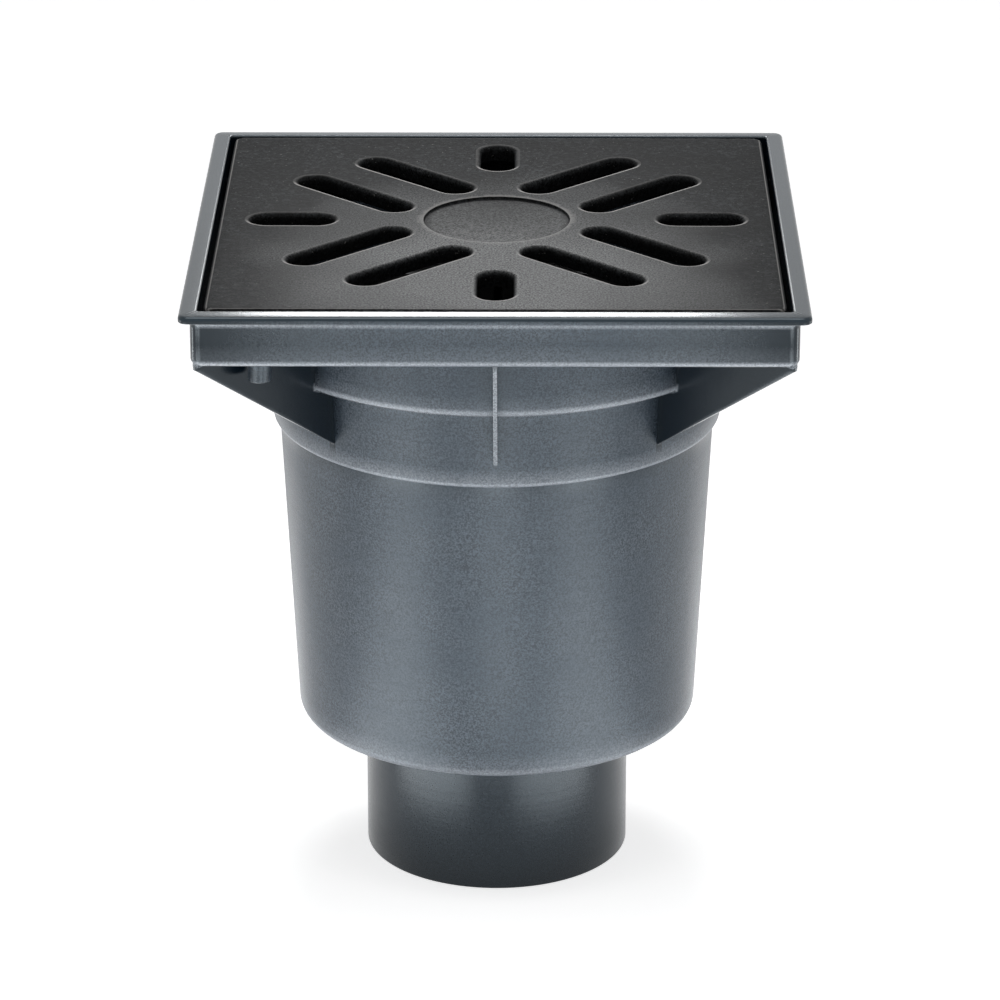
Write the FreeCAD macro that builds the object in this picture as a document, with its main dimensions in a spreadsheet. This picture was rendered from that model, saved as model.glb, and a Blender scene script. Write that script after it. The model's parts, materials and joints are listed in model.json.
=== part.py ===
import FreeCAD, Part
import math
import os
import Sketcher
from FreeCAD import Placement, Rotation, Vector

# A square yard gully with a vertical outlet: a hollow plastic housing, an iron grate that rests in it, a
# sludge bucket, and a removable trap funnel whose hanging flap a counterweight keeps closed.
# Millimetres, +Z up, the outlet's lower end on Z = 0 and its axis on Z, the front towards -Y.
# A depth is measured down from the top of the frame.

SIZES = [
    ("total_height", 275.6, "Top of the frame to the outlet's lower end"),
    ("wall", 3.0, "Wall of the housing"),
    ("frame_width", 244.0, "Square frame across its lip"),
    ("frame_corner", 4.0, "Corner radius of the lip in plan"),
    ("lip_thickness", 3.3, "Lip of the frame"),
    ("lip_edge", 1.5, "Rounding of the lip's upper edge"),
    ("lip_fillet", 1.4, "Fillet between the lip and the box below it"),
    ("box_width", 235.6, "Square box below the lip"),
    ("box_corner", 4.5, "Corner radius of the box"),
    ("box_edge", 3.0, "Rounding of the box's lower edge"),
    ("box_depth", 22.5, "Depth of the underside of the box's floor"),
    ("ring_step", 9.0, "Round ring under the floor, outside the throat's top"),
    ("ring_depth", 49.4, "Depth of the ring's underside"),
    ("ring_edge", 3.5, "Rounding of the ring's lower edge"),
    ("throat_taper", 1.5, "How much wider the throat below the ring is at its top"),
    ("throat_step", 2.6, "Throat's foot outside the pot's top"),
    ("throat_depth", 82.5, "Depth of the throat's underside"),
    ("throat_edge", 2.4, "Rounding of the throat's lower edge"),
    ("pot_top_radius", 89.4, "Pot below the throat, outside, at its top"),
    ("pot_bottom_radius", 82.8, "The same at its foot"),
    ("pot_depth", 212.8, "Depth of the pot's underside"),
    ("pot_edge", 5.0, "Rounding of the pot's lower edge"),
    ("outlet_radius", 55.0, "Outlet pipe end, outside"),
    ("outlet_wall", 3.2, "Wall of the outlet"),
    ("outlet_chamfer", 1.0, "Chamfer on the outlet's end"),
    ("web_thickness", 2.4, "Webs at the corners and ribs at the middles"),
    ("web_setback", 2.5, "Web's end inside the square corner of the box, along the diagonal"),
    ("web_end", 1.6, "Upright end of a web below the floor"),
    ("web_foot_depth", 73.4, "Depth of the foot of each web and rib on the throat"),
    ("rib_setback", 1.0, "Rib's end inside the face of the box"),
    ("peg_diameter", 9.4, "Round peg under the front left corner"),
    ("peg_depth", 32.2, "Depth of the peg's end"),
    ("peg_side", 26.2, "Peg's middle inside the box's left face"),
    ("peg_front", 13.8, "Peg's middle inside the box's front face"),
    ("grate_clearance", 1.8, "Gap between the grate and the box, all round"),
    ("grate_corner", 4.5, "Corner radius of the grate"),
    ("grate_plate", 7.0, "Thickness of the grate's plate"),
    ("grate_border", 7.0, "Width of the border that the grate stands on"),
    ("grate_edge", 1.5, "Rounding of the grate's upper edge"),
    ("slot_width", 14.2, "Width of every slot"),
    ("slot_edge", 2.0, "Rounding of each slot's upper edge"),
    ("slot_offset", 17.55, "Slot's middle line from the diagonal"),
    ("slot_inner", 41.9, "Inner end arc of a diagonal slot, along the diagonal"),
    ("slot_margin", 70.0, "Outer end arc of a diagonal slot inside the grate's square corner"),
    ("grip_inner", 73.1, "Inner end arc of a lifting slot, from the middle"),
    ("grip_margin", 12.7, "End of a lifting slot inside the grate's edge"),
    ("disc_radius", 29.6, "Sunk disc in the middle of the grate"),
    ("disc_depth", 1.2, "Depth of that disc"),
    ("bucket_clearance", 0.8, "Bucket's flange to the ring's bore"),
    ("bucket_slip", 2.5, "Bucket's wall to the funnel's collar"),
    ("bucket_taper", 4.0, "How much narrower the bucket's foot is"),
    ("bucket_lift", 2.5, "Bucket's foot above the collar's lower end"),
    ("bucket_wall", 2.2, "Wall of the bucket"),
    ("bucket_flange", 3.0, "Thickness of the bucket's flange"),
    ("drain_width", 3.5, "Drain slots in the bucket's wall"),
    ("drain_drop", 6.0, "Top of the drain slots below the flange"),
    ("drain_length", 24.0, "Length of the drain slots"),
    ("handle_width", 14.0, "Bow handle of the bucket"),
    ("handle_thickness", 4.0, "The same, its thickness"),
    ("handle_height", 22.0, "The same, above the flange"),
    ("handle_run", 24.0, "The same, its sloping ends, sideways"),
    ("handle_inset", 10.0, "The same, its feet inside the flange's edge"),
    ("handle_foot", 6.0, "The same, each foot on the flange, sideways"),
    ("handle_shoulder", 1.8, "The same, its inner corners inside the outer ones"),
    ("funnel_clearance", 0.9, "Funnel's collar to the pot's bore"),
    ("funnel_wall", 2.5, "Wall of the funnel"),
    ("funnel_flange", 3.0, "Thickness of the funnel's flange"),
    ("funnel_collar", 26.0, "Flange's top to the cone"),
    ("funnel_drop", 30.0, "Height of the cone"),
    ("spout_radius", 30.0, "Spout below the cone, inside"),
    ("spout_length", 14.0, "Length of the spout"),
    ("seal_thickness", 1.6, "Rubber seal under the funnel's flange"),
    ("seal_lip", 1.2, "The seal's upright lip round the flange"),
    ("seal_gap", 0.15, "Clearance on each side of that lip"),
    ("flap_gap", 0.3, "Flap's gasket to the spout's mouth"),
    ("gasket_thickness", 1.6, "Rubber gasket on the flap"),
    ("gasket_inside", 4.0, "Gasket's inner edge inside the spout's bore"),
    ("gasket_rim", 2.0, "Flap beyond the gasket"),
    ("flap_overlap", 4.0, "Flap beyond the spout's outside"),
    ("flap_thickness", 3.5, "Flap and its tail"),
    ("hinge_offset", 8.0, "Hinge from the flap's edge"),
    ("barrel_radius", 5.0, "Barrel of the flap's hinge"),
    ("barrel_length", 20.0, "Length of that barrel"),
    ("arm_width", 14.0, "Arm and tail of the flap"),
    ("lug_gap", 0.5, "Barrel to each hinge lug"),
    ("lug_thickness", 4.0, "Hinge lugs under the funnel"),
    ("lug_half_width", 6.0, "Half the width of a lug, and its end below the hinge"),
    ("pin_radius", 2.5, "Hinge pin"),
    ("pin_clearance", 0.05, "Hinge pin in its bores"),
    ("pin_head_radius", 4.5, "Head of the hinge pin"),
    ("pin_head_thickness", 1.5, "The same, its thickness"),
    ("pin_tail", 2.5, "Pin's end beyond the lug"),
    ("clip_radius", 5.0, "Spring clip on the hinge pin"),
    ("clip_thickness", 1.0, "The same, its thickness"),
    ("weight_reach", 20.0, "Counterweight behind the hinge"),
    ("weight_radius", 13.0, "Counterweight"),
    ("weight_height", 12.0, "Height of the counterweight"),
    ("bolt_radius", 2.5, "Bolt through the counterweight"),
    ("bolt_clearance", 0.1, "Bolt in its holes"),
    ("bolt_hexagon", 8.0, "Bolt head and nut across flats"),
    ("bolt_head", 3.5, "Height of the bolt's head"),
    ("bolt_nut", 4.0, "Height of the nut"),
    ("bolt_tail", 1.0, "Bolt's end below the nut"),
]
CORNERS = 4
DRAINS = 24
# The most of a narrow step that the rounding of its edge may take.
ROUNDING_SHARE = 0.95

doc = FreeCAD.newDocument("yard_gully")
sheet = doc.addObject("Spreadsheet::Sheet", "sizes")
for row, (alias, size, note) in enumerate(SIZES, start=1):
    sheet.set("A%d" % row, note)
    sheet.set("B%d" % row, str(size))
    sheet.setAlias("B%d" % row, alias)
doc.recompute()

# Levels above the outlet's lower end, and radii that several pieces share.
TOP = "sizes.total_height"
LIP_UNDER = TOP + " - sizes.lip_thickness"
FLOOR_UNDER = TOP + " - sizes.box_depth"
FLOOR_TOP = FLOOR_UNDER + " + sizes.wall"
FLOOR_MIDDLE = FLOOR_UNDER + " + sizes.wall / 2"
RING_UNDER = TOP + " - sizes.ring_depth"
LEDGE = RING_UNDER + " + sizes.wall"
WEB_FOOT = TOP + " - sizes.web_foot_depth"
THROAT_UNDER = TOP + " - sizes.throat_depth"
STEP = THROAT_UNDER + " + sizes.wall"
POT_UNDER = TOP + " - sizes.pot_depth"
POT_FLOOR = POT_UNDER + " + sizes.wall"
THROAT_RADIUS = "sizes.pot_top_radius + sizes.throat_step"
THROAT_TOP_RADIUS = THROAT_RADIUS + " + sizes.throat_taper"
RING_RADIUS = THROAT_TOP_RADIUS + " + sizes.ring_step"
RING_BORE = RING_RADIUS + " - sizes.wall"
THROAT_BORE = THROAT_RADIUS + " - sizes.wall"
THROAT_TOP_BORE = THROAT_TOP_RADIUS + " - sizes.wall"
POT_BORE = "sizes.pot_top_radius - sizes.wall"
OUTLET_BORE = "sizes.outlet_radius - sizes.outlet_wall"
POT_TAPER = "(sizes.pot_top_radius - sizes.pot_bottom_radius) / (sizes.pot_depth - sizes.throat_depth)"
BOX_HALF = "sizes.box_width / 2"
GRATE_WIDTH = "sizes.box_width - 2 * sizes.wall - 2 * sizes.grate_clearance"
GRATE_HALF = "(" + GRATE_WIDTH + ") / 2"
SLOT_OUTER = GRATE_HALF + " * sqrt(2) - sizes.slot_margin"
GRIP_OUTER = GRATE_HALF + " - sizes.grip_margin - sizes.slot_width / 2"
FUNNEL_UNDER = STEP + " + sizes.seal_thickness"
FUNNEL_TOP = FUNNEL_UNDER + " + sizes.funnel_flange"
COLLAR_END = FUNNEL_TOP + " - sizes.funnel_collar"
SPOUT_TOP = COLLAR_END + " - sizes.funnel_drop"
MOUTH = SPOUT_TOP + " - sizes.spout_length"
POT_BORE_AT_COLLAR = POT_BORE + " - " + POT_TAPER + " * (" + STEP + " - (" + COLLAR_END + "))"
COLLAR_RADIUS = POT_BORE_AT_COLLAR + " - sizes.funnel_clearance"
COLLAR_BORE = COLLAR_RADIUS + " - sizes.funnel_wall"
FLANGE_RADIUS = THROAT_BORE + " - 2 * sizes.seal_gap - sizes.seal_lip"
SPOUT_OUTSIDE = "sizes.spout_radius + sizes.funnel_wall"
FLAP_RADIUS = SPOUT_OUTSIDE + " + sizes.flap_overlap"
GASKET_UNDER = MOUTH + " - sizes.flap_gap - sizes.gasket_thickness"
FLAP_UNDER = GASKET_UNDER + " - sizes.flap_thickness"
HINGE_LEVEL = GASKET_UNDER + " - sizes.flap_thickness / 2"
HINGE_REACH = FLAP_RADIUS + " + sizes.hinge_offset"
WEIGHT_REACH = HINGE_REACH + " + sizes.weight_reach"
PIN_BORE = "sizes.pin_radius + sizes.pin_clearance"
LUG_INSIDE = "sizes.barrel_length / 2 + sizes.lug_gap"
LUG_OUTSIDE = LUG_INSIDE + " + sizes.lug_thickness"
BOLT_HOLE = "sizes.bolt_radius + sizes.bolt_clearance"
HEXAGON_CORNER = "sizes.bolt_hexagon / sqrt(3)"
CLOSE = 0.01


def value(expression):
    """The number that an expression on the sheet stands for."""
    return float(sheet.evalExpression(expression))


def minus(expression):
    """The same distance to the other side."""
    return "-(" + expression + ")"


def new_body(name):
    """An empty body whose label names the piece and its file."""
    body = doc.addObject("PartDesign::Body", name)
    body.Label = name
    body.Placement = Placement()
    return body


def origin_item(body, role):
    """A plane or an axis of the body's own origin."""
    return [item for item in body.Origin.OriginFeatures if item.Role == role][0]


def new_sketch(body, name, role="XY_Plane", lift="0", turn=Rotation()):
    """A sketch on one of the body's planes, lifted along its normal and turned within its own frame."""
    sketch = body.newObject("Sketcher::SketchObject", name)
    sketch.AttachmentSupport = [(origin_item(body, role), "")]
    sketch.MapMode = "FlatFace"
    sketch.AttachmentOffset = Placement(Vector(0, 0, value(lift)), turn)
    if lift != "0":
        sketch.setExpression(".AttachmentOffset.Base.z", lift)
    return sketch


def drive(sketch, constraint, expression):
    """Add a constraint and let the sheet give its value."""
    index = sketch.addConstraint(constraint)
    sketch.setExpression("Constraints[%d]" % index, expression)


def place_point(sketch, item, point, across, up):
    """Hold one point of a sketch at two distances from the sketch's origin."""
    for kind, distance, axis in (("DistanceX", across, -2), ("DistanceY", up, -1)):
        if distance == "0":
            sketch.addConstraint(Sketcher.Constraint("PointOnObject", item, point, axis))
        else:
            drive(sketch, Sketcher.Constraint(kind, -1, 1, item, point, value(distance)), distance)


def draw_outline(sketch, corners):
    """A closed run of straight lines through corners, each given by two expressions."""
    points = [Vector(value(across), value(up), 0) for across, up in corners]
    count = len(points)
    for k in range(count):
        sketch.addGeometry(Part.LineSegment(points[k], points[(k + 1) % count]), False)
    for k in range(count):
        sketch.addConstraint(Sketcher.Constraint("Coincident", k, 2, (k + 1) % count, 1))
    for k, (across, up) in enumerate(corners):
        place_point(sketch, k, 1, across, up)


def draw_rectangle(sketch, left, right, low, high):
    """A rectangle between two distances across and two up."""
    draw_outline(sketch, [(left, low), (right, low), (right, high), (left, high)])


def draw_square(sketch, width):
    """A square about the sketch's origin."""
    half = "(" + width + ") / 2"
    draw_rectangle(sketch, minus(half), half, minus(half), half)


def draw_circle(sketch, across, up, radius):
    """A full circle."""
    centre = Vector(value(across), value(up), 0)
    item = sketch.addGeometry(Part.Circle(centre, Vector(0, 0, 1), value(radius)), False)
    place_point(sketch, item, 3, across, up)
    drive(sketch, Sketcher.Constraint("Radius", item, value(radius)), radius)


def draw_slot(sketch, start, end, offset, width):
    """An obround along the sketch's x axis: two half circles joined by lines tangent to both."""
    radius = value(width) / 2
    side = value(offset)
    first = sketch.GeometryCount
    for centre, turn in ((start, 0.5), (end, 1.5)):
        circle = Part.Circle(Vector(value(centre), side, 0), Vector(0, 0, 1), radius)
        sketch.addGeometry(Part.ArcOfCircle(circle, turn * math.pi, (turn + 1) * math.pi), False)
    lower = [Vector(value(start), side - radius, 0), Vector(value(end), side - radius, 0)]
    upper = [Vector(value(end), side + radius, 0), Vector(value(start), side + radius, 0)]
    sketch.addGeometry(Part.LineSegment(lower[0], lower[1]), False)
    sketch.addGeometry(Part.LineSegment(upper[0], upper[1]), False)
    joins = ((0, 2, 2, 1), (2, 2, 1, 1), (1, 2, 3, 1), (3, 2, 0, 1))
    for item, point, other, other_point in joins:
        tangent = Sketcher.Constraint("Tangent", first + item, point, first + other, other_point)
        sketch.addConstraint(tangent)
    sketch.addConstraint(Sketcher.Constraint("Equal", first, first + 1))
    place_point(sketch, first, 3, start, offset)
    drive(sketch, Sketcher.Constraint("DistanceX", -1, 1, first + 1, 3, value(end)), end)
    drive(sketch, Sketcher.Constraint("Radius", first, radius), width + " / 2")


def add_pad(body, sketch, length, both_sides=False, downwards=False):
    """Material on a sketch: along its normal, against it, or half to each side."""
    pad = body.newObject("PartDesign::Pad", sketch.Name + "_pad")
    pad.Profile = sketch
    pad.setExpression("Length", length)
    pad.SideType = "Symmetric" if both_sides else "One side"
    pad.Reversed = downwards
    body.Tip = pad
    doc.recompute()
    return pad


def cut_pocket(body, sketch, length, both_sides=False, upwards=False):
    """Take material away below a sketch, above it, or half to each side, and see that it went."""
    before = body.Shape.Volume
    pocket = body.newObject("PartDesign::Pocket", sketch.Name + "_cut")
    pocket.Profile = sketch
    pocket.setExpression("Length", length)
    pocket.SideType = "Symmetric" if both_sides else "One side"
    pocket.Reversed = upwards
    body.Tip = pocket
    doc.recompute()
    if not pocket.Shape.Volume < before:
        raise RuntimeError(sketch.Name + " cuts nothing")
    return pocket


def turn_profile(body, sketch, kind):
    """A Revolution or a Groove of a sketch about its upright axis."""
    feature = body.newObject("PartDesign::" + kind, sketch.Name + "_turn")
    feature.Profile = sketch
    feature.ReferenceAxis = (sketch, ["V_Axis"])
    feature.Angle = 360
    body.Tip = feature
    doc.recompute()
    return feature


def repeat_round(body, feature, count):
    """Copies of a feature, evenly round the upright axis."""
    pattern = body.newObject("PartDesign::PolarPattern", feature.Name + "_round")
    pattern.Originals = [feature]
    pattern.Axis = (origin_item(body, "Z_Axis"), [""])
    pattern.Angle = 360
    pattern.Occurrences = count
    body.Tip = pattern
    doc.recompute()
    return pattern


def soften(body, kind, wanted, size):
    """A Fillet or a Chamfer on the edges of the body that a test picks."""
    base = body.Tip
    names = ["Edge%d" % (k + 1) for k, edge in enumerate(base.Shape.Edges) if wanted(edge)]
    feature = body.newObject("PartDesign::" + kind, "%s_%s_%d" % (body.Name, kind.lower(), len(body.Group)))
    feature.Base = (base, names)
    feature.setExpression("Radius" if kind == "Fillet" else "Size", size)
    body.Tip = feature
    doc.recompute()
    return feature


def upright_at(half):
    """Picks upright edges at the corners of a square of this half width."""
    def wanted(edge):
        box = edge.BoundBox
        if box.ZLength < CLOSE or box.XLength > CLOSE or box.YLength > CLOSE:
            return False
        return abs(abs(box.XMin) - value(half)) < CLOSE and abs(abs(box.YMin) - value(half)) < CLOSE
    return wanted


def level_between(level, least, most):
    """Picks edges that lie flat at a level, with their furthest point between two distances in X or Y."""
    def wanted(edge):
        box = edge.BoundBox
        if box.ZLength > CLOSE or abs(box.ZMin - value(level)) > CLOSE:
            return False
        reach = max(abs(box.XMin), abs(box.XMax), abs(box.YMin), abs(box.YMax))
        return value(least) - CLOSE < reach < value(most) + CLOSE
    return wanted


def circle_at(level, radius):
    """Picks the circle of this radius at a level."""
    return level_between(level, radius, radius)


def make_gully_body():
    """The housing, one hollow moulding: lip, square box, ring, throat, pot, outlet, webs, ribs and peg."""
    body = new_body("gully_body")
    lip = new_sketch(body, "lip", lift=LIP_UNDER)
    draw_square(lip, "sizes.frame_width")
    add_pad(body, lip, "sizes.lip_thickness")
    soften(body, "Fillet", upright_at("sizes.frame_width / 2"), "sizes.frame_corner")

    box = new_sketch(body, "box", lift=FLOOR_UNDER)
    draw_square(box, "sizes.box_width")
    add_pad(body, box, "sizes.box_depth - sizes.lip_thickness")
    lip_half = "sizes.frame_width / 2"
    soften(body, "Fillet", upright_at(BOX_HALF), "sizes.box_corner")
    soften(body, "Fillet", level_between(FLOOR_UNDER, "0", BOX_HALF), "sizes.box_edge")
    soften(body, "Fillet", level_between(LIP_UNDER, "0", BOX_HALF), "sizes.lip_fillet")
    straight_half = lip_half + " - sizes.frame_corner"
    soften(body, "Fillet", level_between(TOP, straight_half, lip_half), "sizes.lip_edge")

    outside = new_sketch(body, "outside", "XZ_Plane")
    draw_outline(outside, [
        ("0", FLOOR_TOP),
        ("0", "0"),
        ("sizes.outlet_radius", "0"),
        ("sizes.outlet_radius", POT_UNDER),
        ("sizes.pot_bottom_radius", POT_UNDER),
        ("sizes.pot_top_radius", THROAT_UNDER),
        (THROAT_RADIUS, THROAT_UNDER),
        (THROAT_TOP_RADIUS, RING_UNDER),
        (RING_RADIUS, RING_UNDER),
        (RING_RADIUS, FLOOR_TOP),
    ])
    turn_profile(body, outside, "Revolution")
    soften(body, "Fillet", circle_at(RING_UNDER, RING_RADIUS), "sizes.ring_edge")
    soften(body, "Fillet", circle_at(THROAT_UNDER, THROAT_RADIUS),
           "min(sizes.throat_edge; %g * sizes.throat_step)" % ROUNDING_SHARE)
    soften(body, "Fillet", circle_at(POT_UNDER, "sizes.pot_bottom_radius"), "sizes.pot_edge")
    soften(body, "Chamfer", circle_at("0", "sizes.outlet_radius"), "sizes.outlet_chamfer")

    web = new_sketch(body, "web", "XZ_Plane", turn=Rotation(Vector(0, 1, 0), 45))
    web_reach = BOX_HALF + " * sqrt(2) - sizes.web_setback"
    draw_bracket(web, web_reach, "sizes.web_end")
    repeat_round(body, add_pad(body, web, "sizes.web_thickness", both_sides=True), CORNERS)
    rib = new_sketch(body, "rib", "XZ_Plane")
    draw_bracket(rib, BOX_HALF + " - sizes.rib_setback", "sizes.web_end")
    repeat_round(body, add_pad(body, rib, "sizes.web_thickness", both_sides=True), CORNERS)

    peg = new_sketch(body, "peg", lift=FLOOR_MIDDLE)
    peg_across = minus(BOX_HALF + " - sizes.peg_side")
    peg_up = minus(BOX_HALF + " - sizes.peg_front")
    draw_circle(peg, peg_across, peg_up, "sizes.peg_diameter / 2")
    add_pad(body, peg, "sizes.peg_depth - sizes.box_depth + sizes.wall / 2", downwards=True)

    recess = new_sketch(body, "recess", lift=TOP)
    draw_square(recess, "sizes.box_width - 2 * sizes.wall")
    cut_pocket(body, recess, "sizes.box_depth - sizes.wall")
    inside = new_sketch(body, "inside", "XZ_Plane")
    draw_outline(inside, [
        ("0", FLOOR_TOP),
        ("0", "0"),
        (OUTLET_BORE, "0"),
        (OUTLET_BORE, POT_FLOOR),
        ("sizes.pot_bottom_radius - sizes.wall", POT_FLOOR),
        (POT_BORE, STEP),
        (THROAT_BORE, STEP),
        (THROAT_TOP_BORE, LEDGE),
        (RING_BORE, LEDGE),
        (RING_BORE, FLOOR_TOP),
    ])
    turn_profile(body, inside, "Groove")
    return body


def draw_bracket(sketch, reach, end):
    """A web seen from the side: from inside the throat's wall out to its reach under the floor."""
    draw_outline(sketch, [
        (POT_BORE, FLOOR_MIDDLE),
        (reach, FLOOR_MIDDLE),
        (reach, FLOOR_UNDER + " - " + end),
        (THROAT_RADIUS, WEB_FOOT),
        (POT_BORE, WEB_FOOT),
    ])


def make_grate():
    """The cast iron grate: a plate on a border, eight diagonal and four lifting slots, a sunk disc."""
    body = new_body("grate")
    outline = new_sketch(body, "grate_outline", lift=FLOOR_TOP)
    draw_square(outline, GRATE_WIDTH)
    add_pad(body, outline, "sizes.box_depth - sizes.wall")
    soften(body, "Fillet", upright_at(GRATE_HALF), "sizes.grate_corner")
    soften(body, "Fillet", level_between(TOP, "0", GRATE_HALF), "sizes.grate_edge")

    hollow = new_sketch(body, "hollow", lift=FLOOR_TOP)
    draw_square(hollow, GRATE_WIDTH + " - 2 * sizes.grate_border")
    cut_pocket(body, hollow, "sizes.box_depth - sizes.wall - sizes.grate_plate", upwards=True)

    diagonal = new_sketch(body, "diagonal_slots", lift=TOP, turn=Rotation(Vector(0, 0, 1), 45))
    for side in ("sizes.slot_offset", minus("sizes.slot_offset")):
        draw_slot(diagonal, "sizes.slot_inner", SLOT_OUTER, side, "sizes.slot_width")
    repeat_round(body, cut_pocket(body, diagonal, "sizes.grate_plate"), CORNERS)
    lifting = new_sketch(body, "lifting_slots", lift=TOP)
    draw_slot(lifting, "sizes.grip_inner", GRIP_OUTER, "0", "sizes.slot_width")
    repeat_round(body, cut_pocket(body, lifting, "sizes.grate_plate"), CORNERS)
    within = GRATE_HALF + " - sizes.grate_border"
    soften(body, "Fillet", level_between(TOP, "0", within), "sizes.slot_edge")

    disc = new_sketch(body, "disc", lift=TOP)
    draw_circle(disc, "0", "0", "sizes.disc_radius")
    cut_pocket(body, disc, "sizes.disc_depth")
    return body


def make_sludge_bucket():
    """The bucket: its flange rests on the ring's ledge, drain slots round its wall, a bow handle on top."""
    body = new_body("sludge_bucket")
    top_radius = COLLAR_BORE + " - sizes.bucket_slip"
    foot_radius = top_radius + " - sizes.bucket_taper"
    foot = COLLAR_END + " + sizes.bucket_lift"
    flange_radius = RING_BORE + " - sizes.bucket_clearance"
    flange_top = LEDGE + " + sizes.bucket_flange"
    section = new_sketch(body, "bucket_section", "XZ_Plane")
    draw_outline(section, [
        ("0", foot),
        (foot_radius, foot),
        (top_radius, LEDGE),
        (flange_radius, LEDGE),
        (flange_radius, flange_top),
        (top_radius + " - sizes.bucket_wall", flange_top),
        (foot_radius + " - sizes.bucket_wall", foot + " + sizes.bucket_wall"),
        ("0", foot + " + sizes.bucket_wall"),
    ])
    turn_profile(body, section, "Revolution")

    drain = new_sketch(body, "drain", "XZ_Plane")
    half = "sizes.drain_width / 2"
    drain_top = LEDGE + " - sizes.drain_drop"
    draw_rectangle(drain, minus(half), half, drain_top + " - sizes.drain_length", drain_top)
    repeat_round(body, cut_pocket(body, drain, flange_radius), DRAINS)

    handle = new_sketch(body, "handle", "XZ_Plane")
    reach = flange_radius + " - sizes.handle_inset"
    crown = flange_top + " + sizes.handle_height"
    bend = reach + " - sizes.handle_run"
    inner_foot = reach + " - sizes.handle_foot"
    inner_bend = bend + " - sizes.handle_shoulder"
    draw_outline(handle, [
        (minus(reach), flange_top),
        (minus(bend), crown),
        (bend, crown),
        (reach, flange_top),
        (inner_foot, flange_top),
        (inner_bend, crown + " - sizes.handle_thickness"),
        (minus(inner_bend), crown + " - sizes.handle_thickness"),
        (minus(inner_foot), flange_top),
    ])
    add_pad(body, handle, "sizes.handle_width", both_sides=True)
    return body


def make_trap_funnel():
    """The removable funnel: a flange on the seal, a collar, a cone, a spout and two lugs for the flap."""
    body = new_body("trap_funnel")
    outside = new_sketch(body, "funnel_outside", "XZ_Plane")
    draw_outline(outside, [
        ("0", FUNNEL_TOP),
        ("0", MOUTH),
        (SPOUT_OUTSIDE, MOUTH),
        (SPOUT_OUTSIDE, SPOUT_TOP),
        (COLLAR_RADIUS, COLLAR_END),
        (COLLAR_RADIUS, FUNNEL_UNDER),
        (FLANGE_RADIUS, FUNNEL_UNDER),
        (FLANGE_RADIUS, FUNNEL_TOP),
    ])
    turn_profile(body, outside, "Revolution")

    lug_end = HINGE_LEVEL + " - sizes.lug_half_width"
    lug_top = COLLAR_END + " - sizes.funnel_drop / 2"
    outer = minus(HINGE_REACH + " + sizes.lug_half_width")
    inner = minus(HINGE_REACH + " - sizes.lug_half_width")
    lugs = new_sketch(body, "lugs", "XZ_Plane")
    draw_rectangle(lugs, outer, inner, lug_end, lug_top)
    add_pad(body, lugs, "2 * (" + LUG_OUTSIDE + ")", both_sides=True)
    between = new_sketch(body, "between_lugs", "XZ_Plane")
    draw_rectangle(between, outer, inner, lug_end, lug_top)
    cut_pocket(body, between, "2 * (" + LUG_INSIDE + ")", both_sides=True)

    inside = new_sketch(body, "funnel_inside", "XZ_Plane")
    draw_outline(inside, [
        ("0", FUNNEL_TOP),
        ("0", MOUTH),
        ("sizes.spout_radius", MOUTH),
        ("sizes.spout_radius", SPOUT_TOP),
        (COLLAR_BORE, COLLAR_END),
        (COLLAR_BORE, FUNNEL_TOP),
    ])
    turn_profile(body, inside, "Groove")
    pin_hole = new_sketch(body, "funnel_pin_hole", "XZ_Plane")
    draw_circle(pin_hole, minus(HINGE_REACH), HINGE_LEVEL, PIN_BORE)
    cut_pocket(body, pin_hole, "4 * (" + LUG_OUTSIDE + ")", both_sides=True)
    return body


def make_funnel_seal():
    """The rubber seal: flat on the step inside the throat, with a lip round the funnel's flange."""
    body = new_body("funnel_seal")
    section = new_sketch(body, "seal_section", "XZ_Plane")
    outer = THROAT_BORE + " - sizes.seal_gap"
    lip_inner = FLANGE_RADIUS + " + sizes.seal_gap"
    draw_outline(section, [
        (COLLAR_RADIUS + " + sizes.seal_gap", STEP),
        (outer, STEP),
        (outer, FUNNEL_TOP),
        (lip_inner, FUNNEL_TOP),
        (lip_inner, FUNNEL_UNDER),
        (COLLAR_RADIUS + " + sizes.seal_gap", FUNNEL_UNDER),
    ])
    turn_profile(body, section, "Revolution")
    return body


def make_trap_flap():
    """The flap: a disc, an arm to the hinge's barrel, and a tail that carries the counterweight."""
    body = new_body("trap_flap")
    disc = new_sketch(body, "flap_disc", lift=FLAP_UNDER)
    draw_circle(disc, "0", "0", FLAP_RADIUS)
    add_pad(body, disc, "sizes.flap_thickness")
    arm = new_sketch(body, "flap_arm", lift=FLAP_UNDER)
    half = "sizes.arm_width / 2"
    tail = minus(WEIGHT_REACH + " + sizes.arm_width / 2")
    draw_rectangle(arm, tail, minus("sizes.spout_radius"), minus(half), half)
    add_pad(body, arm, "sizes.flap_thickness")
    barrel = new_sketch(body, "flap_barrel", "XZ_Plane")
    draw_circle(barrel, minus(HINGE_REACH), HINGE_LEVEL, "sizes.barrel_radius")
    add_pad(body, barrel, "sizes.barrel_length", both_sides=True)
    pin_hole = new_sketch(body, "flap_pin_hole", "XZ_Plane")
    draw_circle(pin_hole, minus(HINGE_REACH), HINGE_LEVEL, PIN_BORE)
    cut_pocket(body, pin_hole, "2 * sizes.barrel_length", both_sides=True)
    bolt_hole = new_sketch(body, "flap_bolt_hole", lift=GASKET_UNDER)
    draw_circle(bolt_hole, minus(WEIGHT_REACH), "0", BOLT_HOLE)
    cut_pocket(body, bolt_hole, "sizes.flap_thickness")
    return body


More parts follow.
